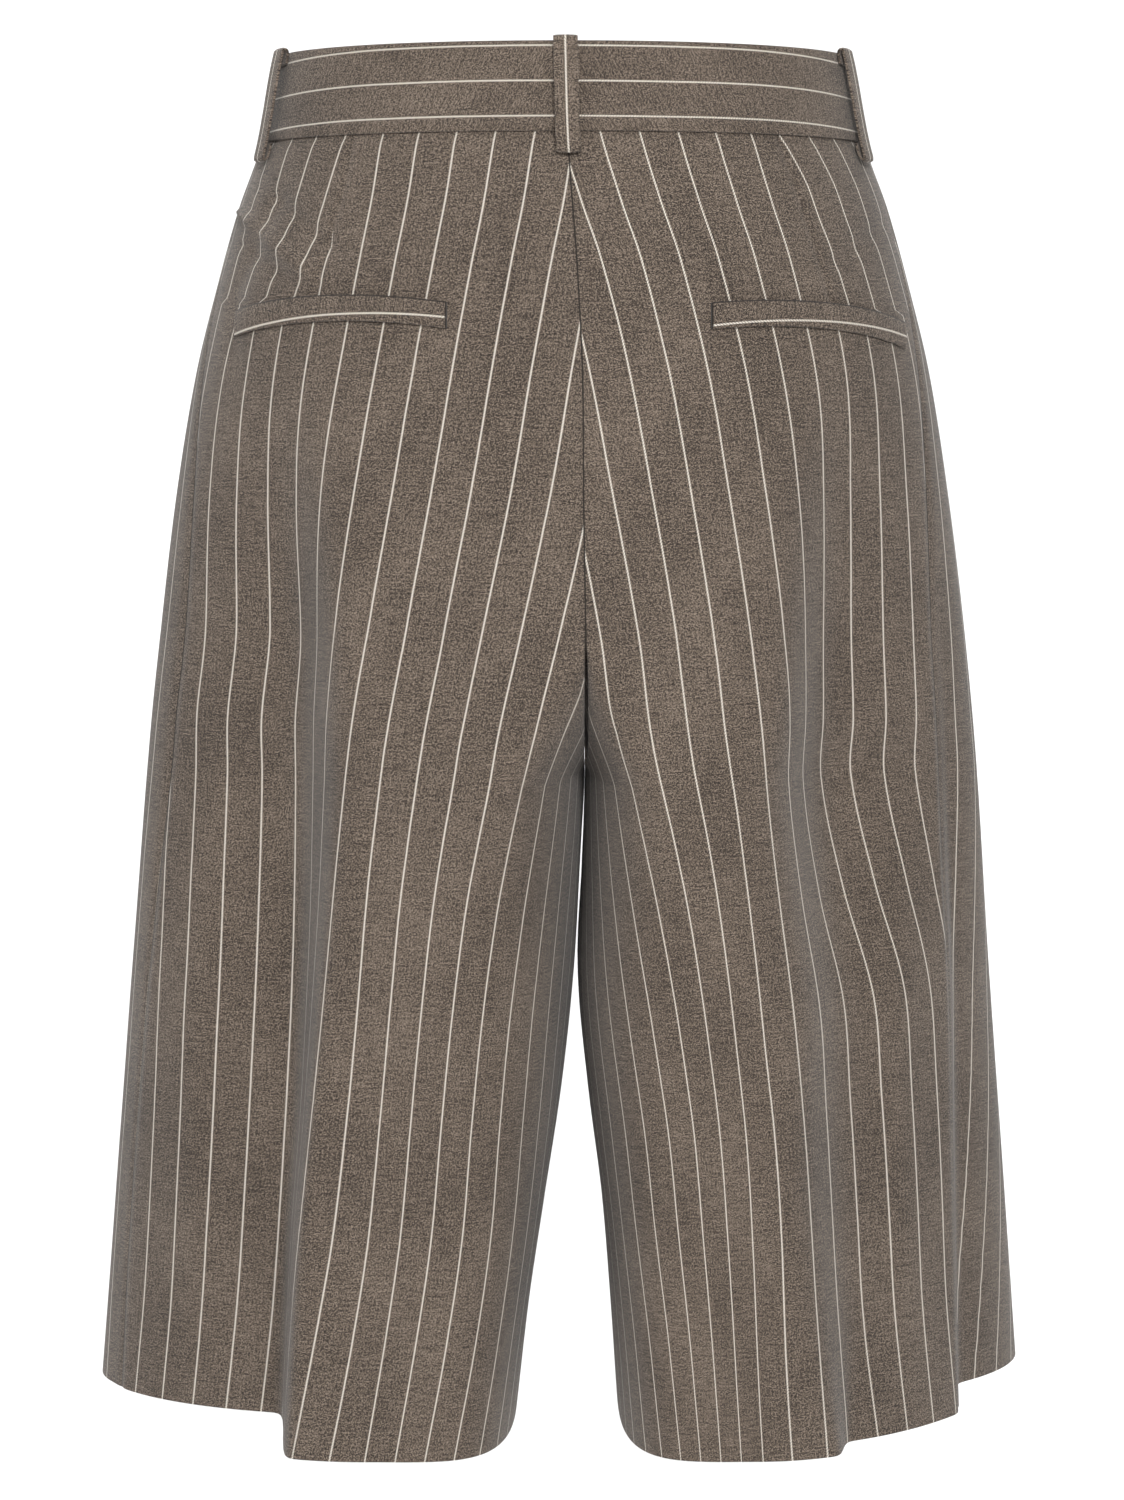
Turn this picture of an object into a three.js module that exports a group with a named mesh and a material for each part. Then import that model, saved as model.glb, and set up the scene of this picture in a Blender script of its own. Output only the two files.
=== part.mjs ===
// Bermuda shorts in pinstriped wool twill, filled out to the form they are worn in.
// Millimetres. +Z is up, the front faces -Y and +X is the wearer's left.
// The origin is the middle of the waist opening, level with the waistband's top edge.

import * as THREE from 'three';

// Driving sizes
const LENGTH = 628;
const CROTCH_DROP = 330;
const CLOTH = 1.6;
const SEAM_GAP = 0.3;
const BAND_HEIGHT = 39;
const BAND_CLOTH = 3;
const BAND_PROUD = 0.6;
const BAND_LAP = 18;
const LOOP_WIDTH = 10.7;
const LOOP_CLOTH = 1.3;
const WELT_HEIGHT = 11.6;
const WELT_CLOTH = 1.6;
const FLY_LENGTH = 165;
const FLY_HALF_WIDTH = 19;
const ZIP_HALF_WIDTH = 12;
const ZIP_THICKNESS = 1.2;
const BUTTON_RADIUS = 7.5;
const BUTTON_THICKNESS = 3;
const BUTTON_HOLE_RADIUS = 0.9;
const BUTTON_HOLE_OFFSET = 1.9;
const BUTTON_STAND = 1.6;

// How finely each piece is faceted
const BACK_STEPS = 40;
const FRONT_STEPS = 20;
const CURVE_STEPS = 90;
const LEG_ROWS = 12;
const LEG_ROW_GROWTH = 1.3;
const BAND_STEPS = 64;

// Body form, a row for each height: side is the half width, seat and front the furthest
// depths, squareFront the exponent of the front's corners.
const FORM = {
  columns: ['z', 'side', 'seat', 'front', 'squareFront'],
  rows: [
    [0, 134, 98, -92, 2.2],
    [-40, 141.8, 104, -97, 2.2],
    [-70, 152.5, 110, -101, 2.2],
    [-105, 162.5, 116, -104, 2.2],
    [-145, 172.6, 120, -107, 2.2],
    [-200, 182.2, 124, -110, 2.2],
    [-260, 190.4, 126, -112, 2.2],
    [-330, 198.4, 126, -115, 2.2],
    [-430, 206.6, 126, -120, 2.15],
    [-530, 215.7, 126, -125, 2.1],
    [-628, 224.5, 126, -130, 2.1],
  ],
};

// The two halves, a row for each height, as distances outward from the garment's middle
// plane: the depth of the leg's back and its corner exponent, the back seam or inseam,
// the front seam or inseam, the crest of the back, the side seam and the crest of the
// front. corner is the exponent of the leg's inner wall and turn the depth of its widest
// point. Past the line named fold the back drops by a share of its depth over that, within
// the distance bend on either side, and past the side seam it drops by the share seamDrop.
const HALF_COLUMNS = ['z', 'back', 'squareBack', 'backSeam', 'frontSeam', 'backCrest', 'sideSeam',
  'frontCrest', 'corner', 'turn', 'fold', 'drop', 'bend', 'seamDrop'];
const HALVES = {
  left: {
    sign: 1,
    columns: HALF_COLUMNS,
    rows: [
      [0, 98, 2.1, -1, 0, -1, 133.5, 0, 2.2, 3, 118, 0, 14, 0],
      [-40, 104, 2.1, -2, 0, -2, 141.3, 0, 2.2, 3, 118, 0, 14, 0],
      [-70, 110, 2.1, -4, 0, -4, 151.3, 0, 2.2, 2, 118, 0, 14, 0],
      [-96, 115, 2.15, -6, 0, -6, 158.5, 0, 2.2, 2, 118, 0, 14, 0],
      [-145, 120, 2.3, -8.5, 0, -8.5, 167, 0, 2.2, 1, 118, 0.03, 14, 0],
      [-200, 124, 2.6, -9, 0, -9, 171, 0, 2.2, 0, 115, 0.18, 12, 0],
      [-262, 126, 2.5, -10, -3, -10, 176, 0, 2.2, 0, 111, 0.31, 9, 0],
      [-303, 126.5, 2.45, -10.4, -7, 20, 181, 20, 2.2, 0, 111, 0.36, 8, 0],
      [-330, 127.5, 2.35, -10.4, -10.4, 38, 184, 35, 2.3, 0, 111, 0.42, 8.5, 0],
      [-380, 130, 2.5, -8, -8, 58, 190, 55, 2.7, 0, 112, 0.42, 7, 0.01],
      [-430, 133, 2.7, -5, -5, 68, 195, 66, 3, 0, 114.5, 0.36, 5, 0.03],
      [-480, 137, 2.5, 0.5, 0.5, 75, 200, 75, 3.4, 0, 118, 0.37, 3.5, 0.05],
      [-530, 141, 2.3, 8.3, 8.3, 80, 205, 83, 3.8, 0, 122.5, 0.41, 3, 0.06],
      [-577, 145, 2.1, 15.5, 15.5, 84, 209, 90, 4.2, 0, 125.5, 0.45, 2.8, 0.07],
      [-628, 149, 2, 21.5, 21.5, 86, 212, 95, 4.5, 0, 128, 0.47, 2.5, 0.08],
    ],
    beltLoops: { side: 36, front: 74 },
    welt: { inner: 51, outer: 149.3, innerDrop: 120.4, middleDrop: 117.1, outerDrop: 123.5 },
  },
  right: {
    sign: -1,
    columns: HALF_COLUMNS,
    rows: [
      [0, 98, 2.1, 1, 0, 1, 133.5, 0, 2.2, 3, 118, 0, 14, 0],
      [-40, 104, 2.1, 2, 0, 2, 141.3, 0, 2.2, 3, 118, 0, 14, 0],
      [-70, 110, 2.1, 4, 0, 4, 151, 0, 2.2, 2, 118, 0, 14, 0],
      [-96, 115, 2.1, 6, 0, 6, 157.5, 0, 2.2, 2, 118, 0, 14, 0],
      [-145, 120, 2.1, 8.5, 0, 8.5, 165, 0, 2.2, 1, 118, 0.03, 14, 0],
      [-200, 124, 2.05, 9, 0, 9, 169, 0, 2.2, 0, 114, 0.16, 12, 0],
      [-262, 126, 2.05, 10, 3, 10, 172, 0, 2.2, 0, 111, 0.29, 11, 0.06],
      [-303, 126.5, 2, 10.4, 7, 32, 175, 20, 2.2, -3, 109, 0.33, 10, 0.12],
      [-330, 127.5, 1.95, 10.4, 10.4, 46, 177, 35, 2.3, -5, 107, 0.4, 11, 0.16],
      [-380, 130, 1.9, 9, 9, 62, 179, 55, 2.7, -9, 111, 0.33, 11, 0.22],
      [-430, 133, 1.9, 7, 7, 70, 181, 66, 3, -13, 117, 0.22, 10, 0.28],
      [-480, 137, 1.9, 11.5, 11.5, 75, 182.5, 75, 3.4, -17, 117, 0.22, 11, 0.32],
      [-530, 141, 1.87, 18, 18, 80, 183.5, 83, 3.8, -21, 119, 0.2, 10, 0.36],
      [-577, 145, 1.85, 22, 22, 84, 184.5, 90, 4.2, -25, 123, 0.16, 7, 0.4],
      [-628, 148.5, 1.85, 25.5, 25.5, 86, 185.5, 95, 4.5, -30, 126.5, 0.11, 2, 0.43],
    ],
    beltLoops: { side: 36, front: 74 },
    welt: { inner: 65, outer: 155.7, innerDrop: 120.6, middleDrop: 120.2, outerDrop: 128.7 },
  },
};

// Folds, a row for each: distance outward from the middle plane at the top, middle and
// end of the fold, the heights where it starts, is full and ends, how wide the cloth
// swells before the fold and sinks after it, how far it does, and how sharply it turns.
const FOLD_COLUMNS = ['half', 'face', 'top', 'middle', 'end', 'zTop', 'zFull', 'zEnd',
  'before', 'after', 'swell', 'sink', 'turn'];
const FOLDS = [
  ['left', 'back', 122, 136, 150, -50, -75, -108, 9, 9, -1.6, 1.6, 6],
  ['left', 'front', 80, 92, 104, -120, -420, -628, 40, 44, 4, 12, 12],
  ['left', 'front', 150, 165, 180, -240, -480, -628, 34, 30, 4, 10, 12],
  ['right', 'front', 84, 90, 100, -120, -420, -628, 40, 44, 4, 12, 12],
  ['right', 'front', 152, 166, 182, -240, -480, -628, 34, 30, 4, 10, 12],
];
const FOLD_FADE = 60;
const SEAM_BEND = 1.6;

// Seat seam and front seam, as drops from the waist: each hangs straight to the drop
// named here, then turns under to the crotch in a quarter of an ellipse. Below the
// seat's turn the backs of the two legs part over LEGS_PART.
const SEAT_TURN_DROP = 262;
const FRONT_TURN_DROP = 240;
const INSEAM_DEPTH = 0;
const HIP_SPRING_DROP = 62;
const LEGS_PART = 40;

// Smooth curve through one column of a table, at height z
function columnAt(table, name, z) {
  const k = table.columns.indexOf(name);
  const { rows } = table;
  const last = rows.length - 1;
  let i = 0;
  while (i < last - 1 && z < rows[i + 1][0]) i += 1;
  const slopeAt = (j) => {
    const above = rows[Math.max(j - 1, 0)];
    const below = rows[Math.min(j + 1, last)];
    return (below[k] - above[k]) / (below[0] - above[0]);
  };
  const step = rows[i + 1][0] - rows[i][0];
  const t = (z - rows[i][0]) / step;
  const a = rows[i][k];
  const b = rows[i + 1][k];
  const da = slopeAt(i) * step;
  const db = slopeAt(i + 1) * step;
  return a + t * (da + t * (3 * (b - a) - 2 * da - db + t * (da + db - 2 * (b - a))));
}

const between = (value, low, high) => Math.min(Math.max(value, low), high);
const smooth = (value) => {
  const t = between(value, 0, 1);
  return t * t * (3 - 2 * t);
};

// Depth of a seam that hangs at depth until turnDrop and then turns under the crotch
function seamDepth(depth, turnDrop, z) {
  const t = between((-z - turnDrop) / (CROTCH_DROP - turnDrop), 0, 1);
  return INSEAM_DEPTH + (depth - INSEAM_DEPTH) * Math.sqrt(1 - t * t);
}

// Inner wall of a leg from its seam to the crest of the front or back: part of a
// superellipse that starts on the seam and ends level with the crest.
function innerWall(seamX, seamY, crestX, crestY, power) {
  const reach = crestY - INSEAM_DEPTH;
  const start = Math.asin(between((seamY - INSEAM_DEPTH) / reach, 0, 1) ** (power / 2));
  const swing = (angle) => 1 - Math.max(Math.cos(angle), 0) ** (2 / power);
  const first = swing(start);
  const points = [];
  for (let i = 0; i < CURVE_STEPS; i += 1) {
    const angle = start + ((Math.PI / 2 - start) * i) / CURVE_STEPS;
    const across = first < 1 - 1e-6 ? (swing(angle) - first) / (1 - first) : 0;
    points.push([seamX + (crestX - seamX) * across, INSEAM_DEPTH + reach * Math.sin(angle) ** (2 / power)]);
  }
  return points;
}

// Outer wall from the crest of the front or back to the side, both ends included
function outerWall(crestX, crestY, sideX, sideY, power) {
  const points = [];
  for (let i = 0; i <= CURVE_STEPS; i += 1) {
    const angle = (Math.PI / 2) * (i / CURVE_STEPS);
    const across = Math.sin(angle) ** (2 / power);
    const along = Math.max(Math.cos(angle), 0) ** (2 / power);
    points.push([crestX + (sideX - crestX) * across, sideY + (crestY - sideY) * along]);
  }
  return points;
}

// Lowers the depths of a wall over its floor by a share of them, past a line, with a bend
// that reaches a distance to either side of it
function ledge(points, floor, line, share, bend) {
  return points.map(([x, y]) => {
    const past = 0.5 * (1 + Math.tanh((x - line) / bend));
    return [x, floor + (y - floor) * (1 - share * past)];
  });
}

function arcLengths(points) {
  const lengths = [0];
  for (let i = 1; i < points.length; i += 1) {
    const [ax, ay] = points[i - 1];
    const [bx, by] = points[i];
    lengths.push(lengths[i - 1] + Math.hypot(bx - ax, by - ay));
  }
  return lengths;
}

// Arc length at which a stretch of the section passes the distance x outward
function lengthAtX(points, lengths, from, to, x) {
  const rising = points[to][0] > points[from][0];
  for (let i = from; i < to; i += 1) {
    const a = points[i][0];
    const b = points[i + 1][0];
    if (rising ? b >= x : b <= x) {
      return lengths[i] + (lengths[i + 1] - lengths[i]) * between((x - a) / (b - a || 1), 0, 1);
    }
  }
  return lengths[to];
}

// Where a fold's line runs at height z: a parabola through its three distances
function foldLine(fold, z) {
  const t = between((fold.zTop - z) / (fold.zTop - fold.zEnd), 0, 1);
  return fold.top * (1 - t) * (1 - 2 * t) + fold.middle * 4 * t * (1 - t) + fold.end * t * (2 * t - 1);
}

// How much of a fold there is at height z; one that runs into the hem doesn't fade
function foldStrength(fold, z) {
  const start = smooth((fold.zTop - z) / (fold.zTop - fold.zFull));
  return fold.zEnd > -LENGTH ? start * smooth((z - fold.zEnd) / FOLD_FADE + 1) : start;
}

// How far one fold moves the cloth outward, at arc distance q past the fold's line
function foldShape(fold, q) {
  const past = Math.tanh(q / fold.turn);
  const swell = fold.swell * 0.5 * (1 - past) * Math.exp(-((q / fold.before) ** 2));
  const sink = fold.sink * 0.5 * (1 + past) * Math.exp(-((q / fold.after) ** 2));
  return swell - sink;
}

const foldRows = FOLDS.map((row) => Object.fromEntries(FOLD_COLUMNS.map((name, i) => [name, row[i]])));

// Whole section of one half at height z, from the back seam round to the front seam,
// with its folds, as points, arc lengths and the arc length of the side seam.
function makeSection(name, z) {
  const half = HALVES[name];
  const form = (column) => columnAt(FORM, column, z);
  const own = (column) => columnAt(half, column, z);
  const backSeamX = own('backSeam') + SEAM_GAP / 2;
  const frontSeamX = own('frontSeam') + SEAM_GAP / 2;
  const seat = form('seat');
  const back = seat + (own('back') - seat) * smooth((-z - SEAT_TURN_DROP) / LEGS_PART);
  const backSeamY = seamDepth(seat, SEAT_TURN_DROP, z);
  const frontSeamY = seamDepth(-form('front'), FRONT_TURN_DROP, z);
  const backCrest = Math.max(own('backCrest'), backSeamX);
  const frontCrest = Math.max(own('frontCrest'), frontSeamX);
  const flip = ([x, y]) => [x, -y];
  const innerBack = innerWall(backSeamX, backSeamY, backCrest, back, own('corner'));
  const turn = own('turn');
  const evenBack = outerWall(backCrest, back, form('side'), turn, own('squareBack'));
  const foldedBack = ledge(evenBack, turn, own('fold'), own('drop'), own('bend'));
  const outerBack = ledge(foldedBack, turn, own('sideSeam') + SEAM_BEND, own('seamDrop'), SEAM_BEND);
  const outerFront = outerWall(frontCrest, -form('front'), form('side'), -turn, form('squareFront'));
  const innerFront = innerWall(frontSeamX, frontSeamY, frontCrest, -form('front'), own('corner'));
  innerFront.reverse();
  const points = [
    ...innerBack, ...outerBack,
    ...outerFront.reverse().slice(1).map(flip), ...innerFront.map(flip),
  ];
  const crestAt = innerBack.length;
  const turnAt = crestAt + outerBack.length - 1;
  const frontCrestAt = turnAt + outerFront.length - 1;
  const lengths = arcLengths(points);
  const along = {
    back: (x) => lengthAtX(points, lengths, crestAt, turnAt, x),
    front: (x) => lengthAtX(points, lengths, turnAt, frontCrestAt, x),
  };
  const side = along.back(own('sideSeam'));
  const total = lengths[lengths.length - 1];
  const outer = { back: side - lengths[crestAt], front: lengths[frontCrestAt] - side };
  const moved = points.map(([x, y], i) => {
    const before = points[Math.max(i - 1, 0)];
    const after = points[Math.min(i + 1, points.length - 1)];
    const run = Math.hypot(after[0] - before[0], after[1] - before[1]) || 1;
    const ownFolds = foldRows.filter((fold) => fold.half === name);
    const out = ownFolds.reduce((sum, fold) => {
      const line = along[fold.face](foldLine(fold, z));
      return sum + foldStrength(fold, z) * foldShape(fold, lengths[i] - line);
    }, 0);
    return [x - (out * (after[1] - before[1])) / run, y + (out * (after[0] - before[0])) / run];
  });
  return { points: moved, lengths, side, total, outer, sign: half.sign, along };
}

const sections = new Map();
function sectionAt(name, z) {
  const key = `${name} ${z.toFixed(4)}`;
  if (!sections.has(key)) sections.set(key, makeSection(name, z));
  return sections.get(key);
}

// Point of a section at arc distance s from its back seam; a leg's section is closed
function pointAt(name, s, z) {
  const section = sectionAt(name, z);
  const { points, lengths, total, sign } = section;
  const closed = z <= -CROTCH_DROP;
  const at = closed ? ((s % total) + total) % total : s;
  let low = 0;
  let high = lengths.length - 1;
  while (high - low > 1) {
    const middle = (low + high) >> 1;
    if (lengths[middle] <= at) low = middle;
    else high = middle;
  }
  const t = (at - lengths[low]) / (lengths[high] - lengths[low] || 1);
  const x = points[low][0] + (points[high][0] - points[low][0]) * t;
  const y = points[low][1] + (points[high][1] - points[low][1]) * t;
  return new THREE.Vector3(sign * x, y, z);
}

// Arc distance of a share of a panel, 0 at its middle seam or inseam and 1 at the side
// seam. The leg's inner wall takes the shares by the inseam, so that a column of
// points runs straight down the outer face past the crotch.
const INNER_WALL_POWER = 4.5;
function lengthAtShare(section, face, share) {
  const whole = face === 'back' ? section.side : section.total - section.side;
  const outer = section.outer[face];
  const left = 1 - share;
  const fromSide = left * outer + (whole - outer) * left ** INNER_WALL_POWER;
  return face === 'back' ? section.side - fromSide : section.side + fromSide;
}

// Outward direction of the cloth at arc distance s on row z. The rows above and below
// are read at the same distance from the side seam, so both panels agree on their seam.
const NORMAL_REACH = 2.5;
function normalAt(name, s, z) {
  const here = sectionAt(name, z);
  const place = (zz) => {
    const other = sectionAt(name, zz);
    return pointAt(name, between(other.side + s - here.side, 0, other.total), zz);
  };
  const closed = z <= -CROTCH_DROP;
  const low = closed ? s - NORMAL_REACH : Math.max(s - NORMAL_REACH, 0);
  const high = closed ? s + NORMAL_REACH : Math.min(s + NORMAL_REACH, here.total);
  const across = pointAt(name, high, z).sub(pointAt(name, low, z));
  const zUp = z + NORMAL_REACH > 0 ? 0 : z + NORMAL_REACH;
  const zDown = Math.max(z - NORMAL_REACH, -LENGTH);
  const crossesCrotch = zUp > -CROTCH_DROP && zDown < -CROTCH_DROP;
  const top = crossesCrotch && closed ? z : zUp;
  const bottom = crossesCrotch && !closed ? z : zDown;
  const up = place(top).sub(place(bottom));
  const normal = new THREE.Vector3().crossVectors(up, across);
  return normal.normalize().multiplyScalar(here.sign);
}

// Cloth never reaches past the middle seams, above the crotch
function keepToOwnSide(name, point) {
  if (point.z <= -CROTCH_DROP) return point;
  const half = HALVES[name];
  const seam = columnAt(half, point.y > 0 ? 'backSeam' : 'frontSeam', point.z) + SEAM_GAP / 2;
  if (half.sign * point.x < seam) point.x = half.sign * seam;
  return point;
}

// Closed body from an outer and an inner grid of points, rows of equal length
function wallGeometry(outer, inner) {
  const rows = outer.length;
  const columns = outer[0].length;
  const positions = [];
  for (const grid of [outer, inner]) {
    for (const row of grid) {
      for (const point of row) positions.push(point.x, point.y, point.z);
    }
  }
  const faces = [];
  const index = (layer, row, column) => layer * rows * columns + row * columns + column;
  const distance = (a, b) => Math.hypot(...[0, 1, 2].map((k) => positions[3 * a + k] - positions[3 * b + k]));
  const quad = (a, b, c, d) => {
    if (distance(a, c) <= distance(b, d)) faces.push(a, b, c, a, c, d);
    else faces.push(a, b, d, b, c, d);
  };
  for (let r = 0; r < rows - 1; r += 1) {
    for (let c = 0; c < columns - 1; c += 1) {
      quad(index(0, r, c), index(0, r + 1, c), index(0, r + 1, c + 1), index(0, r, c + 1));
      quad(index(1, r, c), index(1, r, c + 1), index(1, r + 1, c + 1), index(1, r + 1, c));
    }
    quad(index(0, r, 0), index(1, r, 0), index(1, r + 1, 0), index(0, r + 1, 0));
    const end = columns - 1;
    quad(index(0, r, end), index(0, r + 1, end), index(1, r + 1, end), index(1, r, end));
  }
  for (let c = 0; c < columns - 1; c += 1) {
    quad(index(0, 0, c), index(0, 0, c + 1), index(1, 0, c + 1), index(1, 0, c));
    const end = rows - 1;
    quad(index(0, end, c), index(1, end, c), index(1, end, c + 1), index(0, end, c + 1));
  }
  return outwardGeometry(positions, faces);
}

// Geometry whose faces all point out, whichever way round its grid was walked
function outwardGeometry(positions, faces) {
  const corner = (i) => new THREE.Vector3().fromArray(positions, 3 * i);
  let volume = 0;
  for (let i = 0; i < faces.length; i += 3) {
    volume += corner(faces[i]).dot(corner(faces[i + 1]).cross(corner(faces[i + 2])));
  }
  if (volume < 0) {
    for (let i = 0; i < faces.length; i += 3) [faces[i + 1], faces[i + 2]] = [faces[i + 2], faces[i + 1]];
  }
  const geometry = new THREE.BufferGeometry();
  geometry.setAttribute('position', new THREE.Float32BufferAttribute(positions, 3));
  geometry.setIndex(faces);
  geometry.computeVertexNormals();
  return geometry;
}

// Heights from one level to another in equal steps, without the last
const levels = (from, to, steps) => Array.from({ length: steps }, (_, i) => from + ((to - from) * i) / steps);

// Rows of the panels from the waist seam to the hem, closer together at the crotch
const seatTurn = CROTCH_DROP - SEAT_TURN_DROP;
const PANEL_ROWS = [
  ...levels(-BAND_HEIGHT - SEAM_GAP, -HIP_SPRING_DROP, 2),
  ...levels(-HIP_SPRING_DROP, -SEAT_TURN_DROP, 6),
  ...levels(0, Math.PI / 2, 5).map((angle) => -SEAT_TURN_DROP - seatTurn * Math.sin(angle)),
  ...levels(0, 1, LEG_ROWS).map((share) => -CROTCH_DROP - (LENGTH - CROTCH_DROP) * share ** LEG_ROW_GROWTH),
  -LENGTH,
];

const group = new THREE.Group();
function addPiece(name, geometry, material) {
  const mesh = new THREE.Mesh(geometry, material);
  mesh.name = name;
  group.add(mesh);
}

const cloth = (color) => new THREE.MeshStandardMaterial({ color, roughness: 0.92, metalness: 0 });
const TWILL = 0x6e6257;
const BAND_TWILL = 0x74685d;
const ZIP_TAPE = 0x4d453e;
const HORN = 0x3b2f27;

// One cut panel, a quarter of the garment: a cloth wall between two of its seams
function addPanel(name, half, face, steps) {
  const outer = [];
  const inner = [];
  for (const z of PANEL_ROWS) {
    const section = sectionAt(half, z);
    const from = (face === 'back' ? 0 : section.side) + SEAM_GAP / 2;
    const to = (face === 'back' ? section.side : section.total) - SEAM_GAP / 2;
    const outerRow = [];
    const innerRow = [];
    for (let i = 0; i <= steps; i += 1) {
      const s = between(lengthAtShare(section, face, i / steps), from, to);
      const point = pointAt(half, s, z);
      const inward = point.clone().addScaledVector(normalAt(half, s, z), -CLOTH);
      inward.z = z;
      outerRow.push(keepToOwnSide(half, point));
      innerRow.push(keepToOwnSide(half, inward));
    }
    outer.push(outerRow);
    inner.push(innerRow);
  }
  addPiece(name, wallGeometry(outer, inner), cloth(TWILL));
}

for (const half of ['left', 'right']) {
  addPanel(`back_${half}`, half, 'back', BACK_STEPS);
  addPanel(`front_${half}`, half, 'front', FRONT_STEPS);
}

// Point on the waist at height z, off its surface by out. It lies at a share of the way
// round one half, 0 at the middle front and 1 at the middle back, and a distance across
// from there; past either middle it lies on the other half.
const BAND_REACH = 3;
function waistPoint(half, share, across, z, out) {
  const { total, sign } = sectionAt(half, z);
  const other = half === 'left' ? 'right' : 'left';
  const at = (s) => {
    if (s < 0) return pointAt(other, sectionAt(other, z).total + s, z);
    return s > total ? pointAt(other, s - total, z) : pointAt(half, total - s, z);
  };
  const s = share * total + across;
  const run = at(s + BAND_REACH).sub(at(s - BAND_REACH));
  const outward = new THREE.Vector3(run.y, -run.x, 0).normalize().multiplyScalar(sign);
  return at(s).addScaledVector(outward, out);
}

// Waistband: one strip round the waist, its wearer's right end lapped over the left.
// Under the lap it runs on its own line; LAP_RAMP is where the upper end rises over it.
const LAP_RAMP = 22;
const LAP_CLEARANCE = 2;
const lapRise = (s) => (BAND_CLOTH + SEAM_GAP) * smooth((BAND_LAP + LAP_CLEARANCE + LAP_RAMP - s) / LAP_RAMP);

function addWaistband() {
  const steps = BAND_STEPS / 2;
  const shares = Array.from({ length: steps + 1 }, (_, i) => i / steps);
  const stations = [
    ['right', 0, -BAND_LAP],
    ...shares.map((share) => ['right', share, 0]),
    ...shares.slice(0, -1).reverse().map((share) => ['left', share, 0]),
    ['left', 0, -BAND_LAP],
  ];
  const grid = (depth) => [0, -BAND_HEIGHT / 2, -BAND_HEIGHT].map((z) => stations.map(([half, share, across]) => {
    const rise = half === 'right' ? lapRise(share * sectionAt(half, z).total + across) : 0;
    return waistPoint(half, share, across, z, BAND_PROUD + rise - depth);
  }));
  addPiece('waistband', wallGeometry(grid(0), grid(BAND_CLOTH)), cloth(BAND_TWILL));
}
addWaistband();

// Belt loop: a folded strip sewn at the band's top edge, dropped below the band and
// turned up again into the waist seam. Each point is the distance off the band and
// the height of the strip's middle line.
const LOOP_PATH = [[0.95, -5], [1.2, 0.4], [2.4, 1.6], [3.7, 0.2], [4.3, -12], [4.4, -28],
  [4.2, -42], [3.9, -47], [2.8, -48.4], [1.8, -46.5], [1.7, -41]];

function addBeltLoop(name, half, share) {
  const rows = [1, -1].map((sense) => LOOP_PATH.map(([out, z], i) => {
    const before = LOOP_PATH[Math.max(i - 1, 0)];
    const after = LOOP_PATH[Math.min(i + 1, LOOP_PATH.length - 1)];
    const push = (sense * LOOP_CLOTH) / 2 / Math.hypot(after[0] - before[0], after[1] - before[1]);
    const level = z + (before[0] - after[0]) * push;
    const face = BAND_PROUD + out + (after[1] - before[1]) * push;
    return [-LOOP_WIDTH / 2, 0, LOOP_WIDTH / 2].map((across) => {
      const point = waistPoint(half, share, across, Math.min(level, 0), face);
      point.z = level;
      return point;
    });
  }));
  addPiece(name, wallGeometry(rows[0], rows[1]), cloth(BAND_TWILL));
}

const bandMiddle = -BAND_HEIGHT / 2;
for (const [name, half] of Object.entries(HALVES)) {
  const section = sectionAt(name, bandMiddle);
  const widest = columnAt(FORM, 'side', bandMiddle);
  const shareOf = (s) => 1 - s / section.total;
  addBeltLoop(`loop_side_${name}`, name, shareOf(section.along.front(widest) - half.beltLoops.side));
  addBeltLoop(`loop_front_${name}`, name, shareOf(section.along.front(half.beltLoops.front)));
}
addBeltLoop('loop_back', 'left', 1);

// Welt of a back pocket: a narrow strip laid on the back panel's own surface
function addWelt(name) {
  const { inner, outer, innerDrop, middleDrop, outerDrop } = HALVES[name].welt;
  const steps = 12;
  const outerGrid = [];
  const innerGrid = [];
  for (const edge of [0.5, -0.5]) {
    const outerRow = [];
    const innerRow = [];
    for (let i = 0; i <= steps; i += 1) {
      const t = i / steps;
      const drop = innerDrop * (1 - t) * (1 - 2 * t) + middleDrop * 4 * t * (1 - t) + outerDrop * t * (2 * t - 1);
      const z = -drop + edge * WELT_HEIGHT;
      const section = sectionAt(name, z);
      const s0 = section.along.back(inner);
      const s1 = section.along.back(outer);
      const s = s0 + (s1 - s0) * t;
      const normal = normalAt(name, s, z);
      const base = pointAt(name, s, z);
      innerRow.push(base.clone().addScaledVector(normal, 2 * SEAM_GAP));
      outerRow.push(base.clone().addScaledVector(normal, 2 * SEAM_GAP + WELT_CLOTH));
    }
    outerGrid.push(outerRow);
    innerGrid.push(innerRow);
  }
  addPiece(`welt_${name}`, wallGeometry(outerGrid, innerGrid), cloth(TWILL));
}
addWelt('left');
addWelt('right');

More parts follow.
